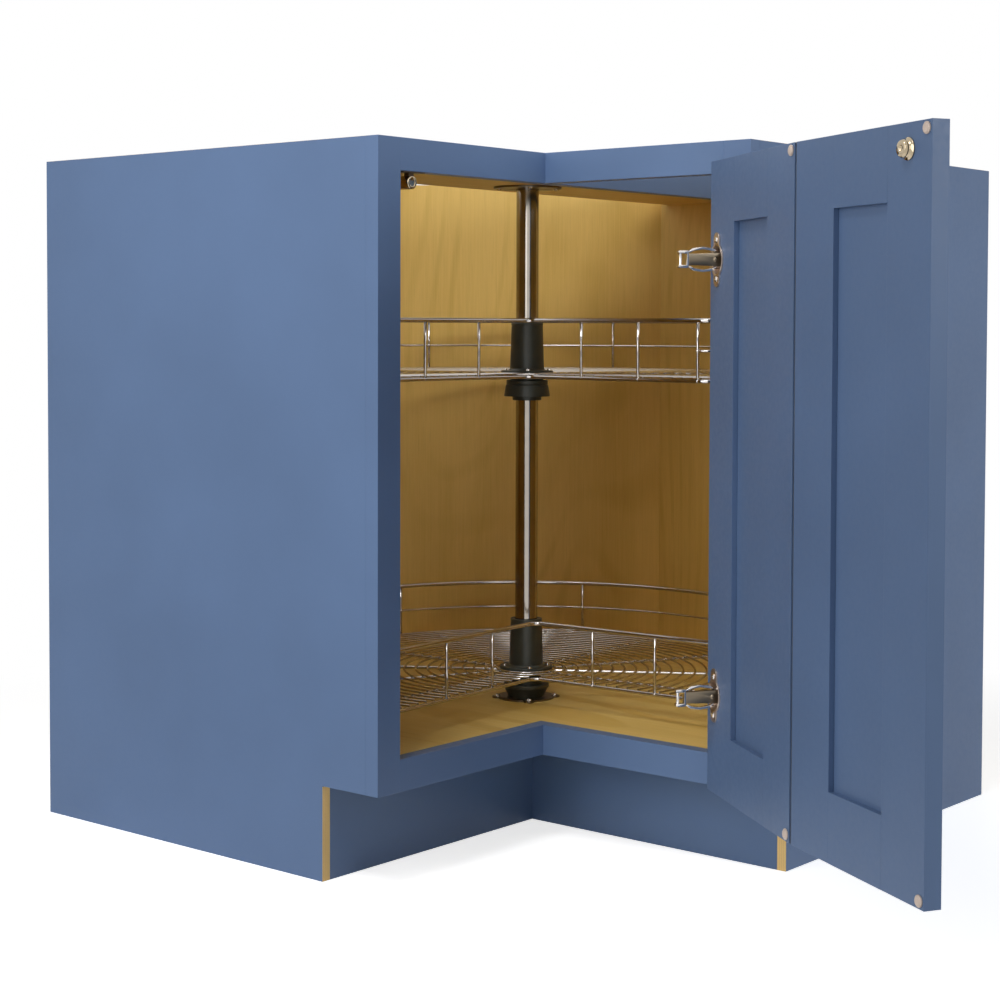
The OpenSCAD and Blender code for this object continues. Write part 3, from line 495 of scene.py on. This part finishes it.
def plies(finish, across, wood):
    """The raw edge of plywood, with its layers across the axis given."""
    where = finish.place.outputs["Object"]
    level = finish.add("ShaderNodeSeparateXYZ", {"Vector": where}).outputs[across]
    layer = finish.maths("SINE", finish.maths("MULTIPLY", level, 2 * math.pi / PLY_PAIR))
    grain = finish.noise(where, SAWN_GRAIN, rough=0.7)
    dark_plies = finish.remap(layer, *PLY_BAND, 0, PLY_SHARE)
    tone = finish.maths("ADD", dark_plies, finish.band(grain, 0, SAWN_SHARE))
    return finish.mix(tone, wood.edge, [c * PLY_SHADE for c in wood.edge])


class CABINET_OT_end_panels(bpy.types.Operator):
    """Paints the end panels outside and leaves them birch inside and raw along their top and their notch"""

    bl_idname = "cabinet.end_panels"
    bl_label = "End panels"

    def execute(self, context):
        settings, wood = context.scene.cabinet_paint, context.scene.cabinet_wood
        notch_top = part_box("left_stile")[0].z - MM
        # Each end panel with its inward direction, its notch's direction and the axis across its plies
        ends = (
            ("left_end_panel", (0, 1, 0), (1, 0, 0), 1),
            ("right_end_panel", (-1, 0, 0), (0, -1, 0), 0),
        )
        for node, inward, forward, across in ends:
            finish = Finish(node + "_finish")
            colour, rough, roller = paint_surface(finish, settings.colour, settings.roughness)
            # The inside faces take the inside birch tones, deepened with painted bounce light
            veneer, fibre = wood_grain(finish, 2, wood.light, wood.dark, BACK_FIGURE)
            in_notch = finish.maths("LESS_THAN", finish.height(), notch_top)
            cut = finish.maths("MULTIPLY", finish.facing(forward), in_notch)
            edges = finish.maths("MAXIMUM", finish.facing((0, 0, 1)), cut)
            inside = finish.facing(inward)
            colour = finish.mix(inside, finish.mix(edges, colour, plies(finish, across, wood)), veneer)
            bare = finish.maths("MAXIMUM", inside, edges)
            rough = finish.maths("ADD", rough, finish.maths("MULTIPLY", bare, BARE_ROUGHER))
            height = finish.maths("ADD", roller, finish.maths("MULTIPLY", fibre, bare))
            material = finish.finish(
                {
                    "Base Color": colour,
                    "Roughness": rough,
                    "Specular IOR Level": PAINT_SHINE,
                    "Normal": finish.bump(height, END_BUMP, FINE_RELIEF),
                }
            )
            eased_board(node, material, settings.easing)
        return {"FINISHED"}


class CABINET_OT_birch_boards(bpy.types.Operator):
    """Gives the floor, the backs, the cleats and the post's board their birch veneer and ply edges"""

    bl_idname = "cabinet.birch_boards"
    bl_label = "Birch boards"

    def execute(self, context):
        wood, easing = context.scene.cabinet_wood, context.scene.cabinet_paint.easing
        # Each board with the axis of its grain, the axis across its plies, the directions of its two veneered
        # faces, the inside one first, and the strength of its rings
        boards = (
            ("floor_panel", 0, 2, ((0, 0, 1), (0, 0, -1)), 0.85),
            ("left_back_panel", 2, 0, ((1, 0, 0), (-1, 0, 0)), BACK_FIGURE),
            ("right_back_panel", 2, 1, ((0, -1, 0), (0, 1, 0)), BACK_FIGURE),
            ("diagonal_back_panel", 2, 0, ((DIAGONAL, -DIAGONAL, 0), (-DIAGONAL, DIAGONAL, 0)), BACK_FIGURE),
            ("floor_cleats", 1, 2, ((1, 0, 0), (-1, 0, 0)), 0.1),
            ("bearing_board", 1, 2, ((0, 0, 1), (0, 0, -1)), 0.2),
        )
        for node, along, across, broad, figure in boards:
            finish = Finish(node + "_birch")
            inside, outside = (finish.facing(side) for side in broad)
            # The floor takes its paler tones, painted light for the light falling on it
            light, dark = (wood.floor, wood.floor_deep_painted_light) if node == "floor_panel" else (wood.light, wood.dark)
            # The backs' outside faces take the plain birch tones; their inside faces and the other boards
            # keep the inside tones, deepened with painted bounce light
            if node.endswith("back_panel"):
                light = finish.mix(outside, light, wood.outside)
                dark = finish.mix(outside, dark, wood.outside_dark)
            veneer, fibre = wood_grain(finish, along, light, dark, figure)
            sides = finish.maths("MAXIMUM", inside, outside)
            material = finish.finish(
                {
                    "Base Color": finish.mix(sides, plies(finish, across, wood), veneer),
                    "Roughness": finish.remap(fibre, *FIBRE_BAND, *VENEER_SHEEN),
                    "Normal": finish.bump(fibre, VENEER_BUMP, VENEER_RELIEF),
                }
            )
            eased_board(node, material, easing)
        return {"FINISHED"}


# ---- metals ----

# Waves a metre of a plating's haze and of its grit, the haze's shade, and the grit's depth and strength
HAZE, GRIT, HAZE_SHADE, GRIT_RELIEF, GRIT_BUMP = 45, 900, 0.88, 0.05 * MM, 0.05
PLATED_SCREWS = (
    "collar_screw base_screws top_screws frame_plate_screws cup_screws hinge_pins fold_hinge_pin"
).split()


def plated(name, base, smooth, dull):
    """A plated metal whose haze runs from smooth to dull."""
    finish = Finish(name)
    haze = finish.noise(finish.place.outputs["Object"], HAZE)
    grit = finish.noise(finish.place.outputs["Object"], GRIT, detail=2)
    return finish.finish(
        {
            "Base Color": finish.mix(finish.band(haze), [c * HAZE_SHADE for c in base], base),
            "Metallic": 1.0,
            "Roughness": finish.band(haze, smooth, dull),
            "Normal": finish.bump(grit, GRIT_BUMP, GRIT_RELIEF),
        }
    )


class CABINET_OT_fittings(bpy.types.Operator):
    """Plates the post, the screws, the hinges, the catch and the wires of the shelf floors"""

    bl_idname = "cabinet.fittings"
    bl_label = "Metal fittings"

    def execute(self, context):
        metal = context.scene.cabinet_metal
        chrome = plated("wire_chrome", metal.chrome, smooth=0.09, dull=0.16)
        # The post's tint holds painted reflection of the birch round it
        post = plated("post_chrome", metal.post, smooth=0.10, dull=0.15)
        bright = plated("bright_chrome", metal.bright, smooth=0.08, dull=0.16)
        # Golden brown on the strike and magnet: painted reflection of the birch
        strike = plated("strike_plate", metal.strike, smooth=0.06, dull=0.12)
        nickel = plated("satin_nickel", metal.nickel, smooth=0.24, dull=0.36)
        # The dark plating of arms and plates, also set on the fold hinges as painted shade
        dark_metal_and_joint_shade = plated("dark_plate", metal.dark_metal_and_joint_shade, smooth=0.30, dull=0.42)
        for node in WIRE_FLOORS:
            coat_node(node, chrome)
        coat_node("post", post)
        for node in PLATED_SCREWS:
            coat_node(node, bright)
        for material, nodes in (
            (bright, "hinge_links hinge_clips"),
            (nickel, "hinge_cups hinge_frame_plates"),
            # The fold hinges take the dark colour as painted shade in the joint between the leaves
            (dark_metal_and_joint_shade, "hinge_arms base_plate top_plate catch_bracket inner_fold_hinge outer_fold_hinge"),
            (strike, "strike catch_magnet"),
        ):
            for node in nodes.split():
                refined(node, material, metal.relief)
        return {"FINISHED"}


# ---- wire walls ----

# A wire's section is a polygon with this many sides
WIRE_SIDES = 16
# A bend is drawn in steps of at most this angle
BEND_STEP = math.radians(3)
# Diameters of the wires
TOP_WIRE, MIDDLE_WIRE, BOTTOM_WIRE, UPRIGHT = 6 * MM, 3 * MM, 5 * MM, 4 * MM
# Radius of a weld bead, how flat it lies, and how much smaller it is on the bottom wire
WELD, WELD_FLAT, LOW_WELD = 3.1 * MM, 0.9, 0.95
# Angles by which the two shelves stand turned from their home positions
SHELF_TURNS = {"lower": math.radians(3.4), "upper": math.radians(-4.2)}
# How far a hub reaches below the floor wires
HUB_FOOT = 6 * MM


def shelf_place(tier):
    """Where a shelf's own frame stands: on the post, at its floor wires, turned from home."""
    low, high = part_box(tier + "_hub")
    middle = (low + high) / 2
    seat = Matrix.Translation((middle.x, middle.y, low.z + HUB_FOOT))
    return seat @ Matrix.Rotation(SHELF_TURNS[tier], 4, "Z")


class WireBender:
    """Draws a round wire in a level plane the way a bender forms it, by straight runs and turns."""

    def __init__(self, shape, start, heading, width):
        self.shape, self.place, self.heading = shape, Vector(start), heading
        across = Matrix.Rotation(heading, 4, "Z") @ Matrix.Rotation(math.pi / 2, 4, "Y")
        made = bmesh.ops.create_circle(
            shape, cap_ends=False, segments=WIRE_SIDES, radius=width / 2,
            matrix=Matrix.Translation(self.place) @ across,
        )
        self.first = self.ring = made["verts"]

    def loop(self, ring):
        """The edges that join a ring's points."""
        inside = set(ring)
        return list({e for v in ring for e in v.link_edges if inside.issuperset(e.verts)})

    def run(self, length):
        """A straight length."""
        grown = bmesh.ops.extrude_edge_only(self.shape, edges=self.loop(self.ring))
        self.ring = [g for g in grown["geom"] if isinstance(g, bmesh.types.BMVert)]
        step = Vector((math.cos(self.heading), math.sin(self.heading), 0)) * length
        bmesh.ops.translate(self.shape, verts=self.ring, vec=step)
        self.place += step

    def turn(self, angle, radius):
        """A bend to the left, or to the right where the angle is negative."""
        left = Vector((-math.sin(self.heading), math.cos(self.heading), 0))
        centre = self.place + left * math.copysign(radius, angle)
        grown = bmesh.ops.spin(
            self.shape, geom=self.ring + self.loop(self.ring), cent=centre, axis=(0, 0, 1), angle=angle,
            steps=math.ceil(abs(angle) / BEND_STEP),
        )
        self.ring = [g for g in grown["geom_last"] if isinstance(g, bmesh.types.BMVert)]
        self.place = centre + Matrix.Rotation(angle, 3, "Z") @ (self.place - centre)
        self.heading += angle

    def round_shelf(self, length, rim_turn, rim_radius, round_turn, radius):
        """A straight length, a bend at the rim, the way round the shelf, the other bend and a last length."""
        self.run(length)
        self.turn(rim_turn, rim_radius)
        self.turn(round_turn, radius)
        self.turn(rim_turn, rim_radius)
        self.run(length)

    def cap(self):
        """Closes both ends of the wire."""
        for ring in (self.first, self.ring):
            bmesh.ops.edgeloop_fill(self.shape, edges=self.loop(ring))


def wall_wires(settings):
    """The wires of one shelf's wall, drawn round the post: two closed loops round the whole shelf, a middle
    wire round its back, the uprights and their welds."""
    shape = bmesh.new()
    radius, bend, cut = settings.radius, settings.bend, settings.cut
    corner = math.asin((cut - bend) / (radius - bend))
    bend_x = (radius - bend) * math.cos(corner)
    side, rim_turn, round_turn = bend_x - cut - bend, math.pi / 2 - corner, 1.5 * math.pi + 2 * corner
    for z, width in ((0, BOTTOM_WIRE), (settings.wall, TOP_WIRE)):
        wire = WireBender(shape, (cut + bend, -cut, z), 0, width)
        wire.round_shelf(side, rim_turn, bend, round_turn, radius)
        wire.turn(-math.pi / 2, bend)
    last_x = bend_x - UPRIGHT
    wire = WireBender(shape, (last_x, -cut, settings.wall / 2), 0, MIDDLE_WIRE)
    wire.round_shelf(UPRIGHT, rim_turn, bend, round_turn, radius)
    wire.cap()

    pitch = round_turn / settings.round_uprights
    feet = []
    for i in range(settings.round_uprights):
        angle = (i + 0.5) * pitch - corner
        feet.append((radius * math.cos(angle), radius * math.sin(angle), True))
    for i in range(settings.cut_uprights):
        x = settings.first_upright + i * (last_x - settings.first_upright) / (settings.cut_uprights - 1)
        crossed = i == settings.cut_uprights - 1
        feet += [(x, -cut, crossed), (cut, -x, crossed)]
    for x, y, crosses_middle in feet:
        middle = Matrix.Translation((x, y, settings.wall / 2))
        bmesh.ops.create_cone(
            shape, cap_ends=True, segments=WIRE_SIDES, radius1=UPRIGHT / 2, radius2=UPRIGHT / 2,
            depth=settings.wall, matrix=middle,
        )
        for z in (0, settings.wall) + ((settings.wall / 2,) if crosses_middle else ()):
            bmesh.ops.create_icosphere(
                shape, subdivisions=2, radius=WELD if z else WELD * LOW_WELD,
                matrix=Matrix.Translation((x, y, z)) @ Matrix.Diagonal((1, 1, WELD_FLAT, 1)),
            )
    bmesh.ops.remove_doubles(shape, verts=shape.verts, dist=MERGE_REACH)
    bmesh.ops.recalc_face_normals(shape, faces=shape.faces)
    for face in shape.faces:
        face.smooth = len(face.verts) <= 4
    return shape


class CABINET_OT_wire_walls(bpy.types.Operator):
    """Bends the wire walls of the two shelves, each wire whole, with its uprights and welds"""

    bl_idname = "cabinet.wire_walls"
    bl_label = "Wire walls"

    def execute(self, context):
        settings, metal = context.scene.cabinet_shelves, context.scene.cabinet_metal
        chrome = plated("wall_chrome", metal.chrome, smooth=0.08, dull=0.14)
        for tier in SHELF_TURNS:
            shape = wall_wires(settings)
            bmesh.ops.transform(shape, matrix=shelf_place(tier), verts=shape.verts)
            new_piece(tier + "_wire_wall", shape, tier + "_carousel", chrome, tier + "_wall_wires")
        return {"FINISHED"}


# ---- hubs and bearings ----

# Steps of a full turn, and the distance within which a turned shape's points are merged
TURN_STEPS, TURN_MERGE = 96, 0.001 * MM
# Profiles of the turned parts: radius and height in millimetres, from each part's own level. A hub's level is
# its floor wires, the bearing's is the base plate and the collar's is its top
BORE = 15.45
HUB_PROFILE = (
    (BORE, -6), (22.6, -6), (23.2, -5.4), (23.2, 2.25), (36, 2.25), (36, 6), (34.8, 7.25), (25.6, 7.25),
    (23.4, 9.4), (21.6, 64.5), (21.3, 68.6), (21.8, 69), (21.8, 71.4), (21.2, 72), (17.6, 72), (17.2, 71.2),
    (BORE, 71.2),
)
COLLAR_PROFILE = (
    (BORE, 0), (27.6, 0), (28.3, -0.8), (28.3, -5.2), (27.6, -6), (29, -6.6), (31.3, -20.6), (31.3, -22),
    (20, -22), (20, -26.6), (19.2, -27.4), (BORE, -27.4),
)
# The bearing's ring; its neck reaches up to the height of the CAD bearing
BEARING_PROFILE = (
    (BORE, 0), (24.5, 0), (25, 2.4), (30.6, 12.6), (31.5, 13), (31.5, 17.2), (30.7, 18), (23.2, 18),
)
NECK_RADIUS = 23.2
# Clamp screws: their distance from the post, their level above the floor wires and the radius of their heads
CLAMP_SCREWS, CLAMP_SCREW_PLACE, CLAMP_SCREW_LEVEL, CLAMP_SCREW_HEAD = 4, 30, 7.2, 2.9
# A screw head's upper radius, height, wall round the socket and depth of the socket, as shares of its radius
HEAD_TOP, HEAD_HEIGHT, SOCKET_WALL, SOCKET_DEPTH = 0.72, 0.7, 0.34, 0.3
HEAD_SIDES = 24
# Waves a metre of a moulding's grain and clouds, how much the clouds lighten it, how far the grain shifts its
# roughness, and the grain's depth and strength
MOULD_GRAIN, MOULD_CLOUD, MOULD_LIGHTER, MOULD_SHEEN = 900, 60, 1.25, (-0.06, 0.08)
MOULD_RELIEF, MOULD_BUMP = 0.1 * MM, 0.1


def turned(profile, place):
    """A closed shape spun from its profile about the z axis, put at its place."""
    shape = bmesh.new()
    points = [shape.verts.new((radius * MM, 0, height * MM)) for radius, height in profile]
    outline = [shape.edges.new(pair) for pair in zip(points, points[1:] + points[:1])]
    bmesh.ops.spin(
        shape, geom=points + outline, cent=(0, 0, 0), axis=(0, 0, 1), angle=2 * math.pi, steps=TURN_STEPS,
        use_merge=True,
    )
    bmesh.ops.remove_doubles(shape, verts=shape.verts, dist=TURN_MERGE)
    bmesh.ops.recalc_face_normals(shape, faces=shape.faces)
    bmesh.ops.transform(shape, matrix=place, verts=shape.verts)
    return shape


def screw_head(shape, place):
    """A domed screw head with a round socket, its seat at its place."""
    radius = CLAMP_SCREW_HEAD * MM
    height = radius * HEAD_HEIGHT
    made = bmesh.ops.create_cone(
        shape, cap_ends=True, segments=HEAD_SIDES, radius1=radius, radius2=radius * HEAD_TOP, depth=height,
        matrix=place @ Matrix.Translation((0, 0, height / 2)),
    )
    top = max({f for v in made["verts"] for f in v.link_faces}, key=lambda f: f.calc_center_median().z)
    bmesh.ops.inset_individual(shape, faces=[top], thickness=radius * SOCKET_WALL)
    bmesh.ops.translate(shape, verts=top.verts, vec=(0, 0, -radius * SOCKET_DEPTH))


def moulded(name, base, roughness):
    """A moulded plastic with a fine grain."""
    finish = Finish(name)
    grain = finish.noise(finish.place.outputs["Object"], MOULD_GRAIN)
    cloud = finish.noise(finish.place.outputs["Object"], MOULD_CLOUD, detail=2)
    return finish.finish(
        {
            "Base Color": finish.mix(finish.band(cloud), base, [c * MOULD_LIGHTER for c in base]),
            "Roughness": finish.band(grain, *(roughness + shift for shift in MOULD_SHEEN)),
            "Normal": finish.bump(grain, MOULD_BUMP, MOULD_RELIEF),
        }
    )


class CABINET_OT_hubs(bpy.types.Operator):
    """Turns the hubs, the lower bearing and the collar, and screws the clamp discs down"""

    bl_idname = "cabinet.hubs"
    bl_label = "Hubs and bearings"

    def execute(self, context):
        metal = context.scene.cabinet_metal
        plastic = moulded("dark_plastic", context.scene.cabinet_plastic.hub, 0.38)
        screws = plated("screw_chrome", metal.bright, smooth=0.08, dull=0.16)
        for tier in SHELF_TURNS:
            place, body = shelf_place(tier), tier + "_carousel"
            hub = new_piece(tier + "_hub_sleeve", turned(HUB_PROFILE, place), body, plastic, tier + "_hub")
            break_edges(hub, metal.relief)
            shape = bmesh.new()
            for i in range(CLAMP_SCREWS):
                spot = Matrix.Rotation((i + 0.5) * 2 * math.pi / CLAMP_SCREWS, 4, "Z")
                out = Matrix.Translation((CLAMP_SCREW_PLACE * MM, 0, CLAMP_SCREW_LEVEL * MM))
                screw_head(shape, place @ spot @ out)
            break_edges(new_piece(tier + "_clamp_screws", shape, body, screws), metal.relief)
        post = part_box("post")
        axis = (post[0] + post[1]) / 2
        low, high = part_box("lower_bearing")
        neck = (high.z - low.z) / MM
        bearing = BEARING_PROFILE + ((NECK_RADIUS, neck), (BORE, neck))
        for name, profile, level, node in (
            ("bearing_ring", bearing, low.z, "lower_bearing"),
            ("collar_cone", COLLAR_PROFILE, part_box("support_collar")[1].z, "support_collar"),
        ):
            place = Matrix.Translation((axis.x, axis.y, level))
            break_edges(new_piece(name, turned(profile, place), "cabinet", plastic, node), metal.relief)
        return {"FINISHED"}


class CABINET_OT_bumpers(bpy.types.Operator):
    """Finishes the soft bumpers on the leaves"""

    bl_idname = "cabinet.bumpers"
    bl_label = "Bumpers"

    def execute(self, context):
        material = moulded("bumper_plastic", context.scene.cabinet_plastic.bumper, 0.5)
        for node in ("inner_bumpers", "outer_bumpers"):
            refined(node, material, context.scene.cabinet_metal.relief)
        return {"FINISHED"}


# ---- stage ----

# The camera's place, its turns in radians, its lens and sensor in millimetres, and its shift up the frame
CAMERA_PLACE = Vector((2.16773, -2.55753, 0.65963))
CAMERA_YAW, CAMERA_PITCH, CAMERA_ROLL = 0.69710, -0.03780, 0.00280
CAMERA_LENS, CAMERA_SENSOR, CAMERA_SHIFT = 71.15, 36, -0.1
# The floor keeps the shadow within the first distance from the cabinet and is plain white beyond the second
SHADOW_REACH, WHITE_REACH = 0.95, 1.5
STAGE_CENTRE = (0.6, -0.55, 0)
# How far the floor reaches to each side, and the waves a metre and the shade of its faint mottle
FLOOR_REACH, MOTTLE, MOTTLE_SHADE = 30, 3, 0.99
# Each lamp with its side, its place, the point that it faces and the spread of its beam in degrees. Its power
# is the setting of the same name
LAMPS = (
    ("key", 2.0, (0.05, -3.3, 1.3), (0.6, -0.6, 0.5), 180),
    ("near", 1.6, (1.8, -3.6, 1.4), (0.6, -0.6, 0.5), 180),
    ("side", 1.0, (3.4, -0.35, 1.3), (0.8, -0.6, 0.6), 180),
    ("top", 0.6, (1.1, -1.1, 1.9), (0.2, -0.2, 0.7), 60),
    ("high", 0.8, (0.9, -2.0, 2.6), (0.45, -0.45, 0.3), 60),
)


def camera_turn():
    """The camera's axes as a rotation: right, up and back."""
    ahead = Vector(
        (
            -math.sin(CAMERA_YAW) * math.cos(CAMERA_PITCH),
            math.cos(CAMERA_YAW) * math.cos(CAMERA_PITCH),
            math.sin(CAMERA_PITCH),
        )
    )
    level = ahead.cross(Vector((0, 0, 1))).normalized()
    upright = level.cross(ahead)
    right = level * math.cos(CAMERA_ROLL) + upright * math.sin(CAMERA_ROLL)
    up = upright * math.cos(CAMERA_ROLL) - level * math.sin(CAMERA_ROLL)
    return Matrix((right, up, -ahead)).transposed()


def lamp(name, energy, side, place, target, spread):
    """A square soft lamp that faces the target."""
    light = bpy.data.lights.new(name, "AREA")
    light.energy, light.size, light.spread = energy, side, math.radians(spread)
    holder = bpy.data.objects.new(name, light)
    holder.location = place
    holder.rotation_euler = (Vector(target) - Vector(place)).to_track_quat("-Z", "Y").to_euler()
    bpy.context.scene.collection.objects.link(holder)


def floor_finish(settings):
    """A pale floor that keeps the shadow near the cabinet and fades to white further out."""
    finish = Finish("pale_floor")
    mottle = finish.noise(finish.place.outputs["Object"], MOTTLE, detail=2)
    dull = [c * MOTTLE_SHADE for c in settings.floor]
    seen = seen_rays(finish.tree)
    away = finish.add(
        "ShaderNodeVectorMath", {0: finish.place.outputs["Object"], 1: STAGE_CENTRE}, operation="DISTANCE"
    ).outputs["Value"]
    far = finish.maths("MULTIPLY", seen, finish.remap(away, SHADOW_REACH, WHITE_REACH))
    near = finish.add(
        "ShaderNodeBsdfPrincipled",
        {
            "Base Color": finish.mix(finish.band(mottle), dull, settings.floor),
            "Roughness": 0.7,
            "Emission Color": (1, 1, 1, 1),
            "Emission Strength": finish.maths("MULTIPLY", seen, settings.fill),
        },
    )
    white = finish.add("ShaderNodeEmission", {"Color": (1, 1, 1, 1), "Strength": 1.0})
    both = finish.add("ShaderNodeMixShader", {0: far, 1: near.outputs["BSDF"], 2: white.outputs["Emission"]})
    finish.add("ShaderNodeOutputMaterial", {"Surface": both.outputs["Shader"]})
    return finish.material


def even_light(strength):
    """A world that lights evenly and shows white."""
    world = bpy.data.worlds.new("even_light")
    world.use_nodes = True
    tree = world.node_tree
    tree.nodes.clear()
    level = tree.nodes.new("ShaderNodeMapRange")
    tree.links.new(seen_rays(tree), level.inputs["Value"])
    level.inputs["To Min"].default_value = strength
    level.inputs["To Max"].default_value = 1.0
    light = tree.nodes.new("ShaderNodeBackground")
    light.inputs["Color"].default_value = (1, 1, 1, 1)
    tree.links.new(level.outputs["Result"], light.inputs["Strength"])
    output = tree.nodes.new("ShaderNodeOutputWorld")
    tree.links.new(light.outputs["Background"], output.inputs["Surface"])
    return world


class CABINET_OT_stage(bpy.types.Operator):
    """Sets out the pale floor, the even light, the lamps and the camera"""

    bl_idname = "cabinet.stage"
    bl_label = "Stage"

    def execute(self, context):
        settings, scene = context.scene.cabinet_stage, context.scene
        shape = bmesh.new()
        bmesh.ops.create_grid(shape, x_segments=2, y_segments=2, size=FLOOR_REACH)
        mesh = bpy.data.meshes.new("floor")
        shape.to_mesh(mesh)
        shape.free()
        floor = bpy.data.objects.new("floor", mesh)
        scene.collection.objects.link(floor)
        coat(floor, floor_finish(settings))
        scene.world = even_light(settings.sky)
        for name, side, place, target, spread in LAMPS:
            lamp(name + "_lamp", getattr(settings, name), side, place, target, spread)

        camera = bpy.data.cameras.new("camera")
        camera.lens, camera.sensor_width, camera.shift_y = CAMERA_LENS, CAMERA_SENSOR, CAMERA_SHIFT
        holder = bpy.data.objects.new("camera", camera)
        holder.matrix_world = Matrix.Translation(CAMERA_PLACE) @ camera_turn().to_4x4()
        scene.collection.objects.link(holder)
        scene.camera = holder
        scene.view_settings.view_transform = "Standard"
        return {"FINISHED"}


# ---- add-on ----

OPERATORS = (
    CABINET_OT_painted_boards,
    CABINET_OT_end_panels,
    CABINET_OT_birch_boards,
    CABINET_OT_fittings,
    CABINET_OT_wire_walls,
    CABINET_OT_hubs,
    CABINET_OT_bumpers,
    CABINET_OT_stage,
)
GROUPS = (
    (CabinetPaint, "cabinet_paint"),
    (CabinetWood, "cabinet_wood"),
    (CabinetMetal, "cabinet_metal"),
    (CabinetPlastic, "cabinet_plastic"),
    (CabinetShelves, "cabinet_shelves"),
    (CabinetStage, "cabinet_stage"),
)


class CABINET_PT_sidebar(bpy.types.Panel):
    """Lists the settings and the steps of the cabinet"""

    bl_idname = "CABINET_PT_sidebar"
    bl_label = "Corner Carousel Cabinet"
    bl_space_type = "VIEW_3D"
    bl_region_type = "UI"
    bl_category = "Cabinet"

    def draw(self, context):
        for group, name in GROUPS:
            box = self.layout.box()
            for setting in group.__annotations__:
                box.prop(getattr(context.scene, name), setting)
        for operator in OPERATORS:
            self.layout.operator(operator.bl_idname)


def register():
    for group, name in GROUPS:
        bpy.utils.register_class(group)
        setattr(bpy.types.Scene, name, bpy.props.PointerProperty(type=group))
    for operator in OPERATORS:
        bpy.utils.register_class(operator)
    bpy.utils.register_class(CABINET_PT_sidebar)


def unregister():
    bpy.utils.unregister_class(CABINET_PT_sidebar)
    for operator in reversed(OPERATORS):
        bpy.utils.unregister_class(operator)
    for group, name in reversed(GROUPS):
        delattr(bpy.types.Scene, name)
        bpy.utils.unregister_class(group)


def main():
    """Registers the add-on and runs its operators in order."""
    register()
    bpy.ops.cabinet.painted_boards()
    bpy.ops.cabinet.end_panels()
    bpy.ops.cabinet.birch_boards()
    bpy.ops.cabinet.fittings()
    bpy.ops.cabinet.wire_walls()
    bpy.ops.cabinet.hubs()
    bpy.ops.cabinet.bumpers()
    bpy.ops.cabinet.stage()


if __name__ == "__main__":
    main()
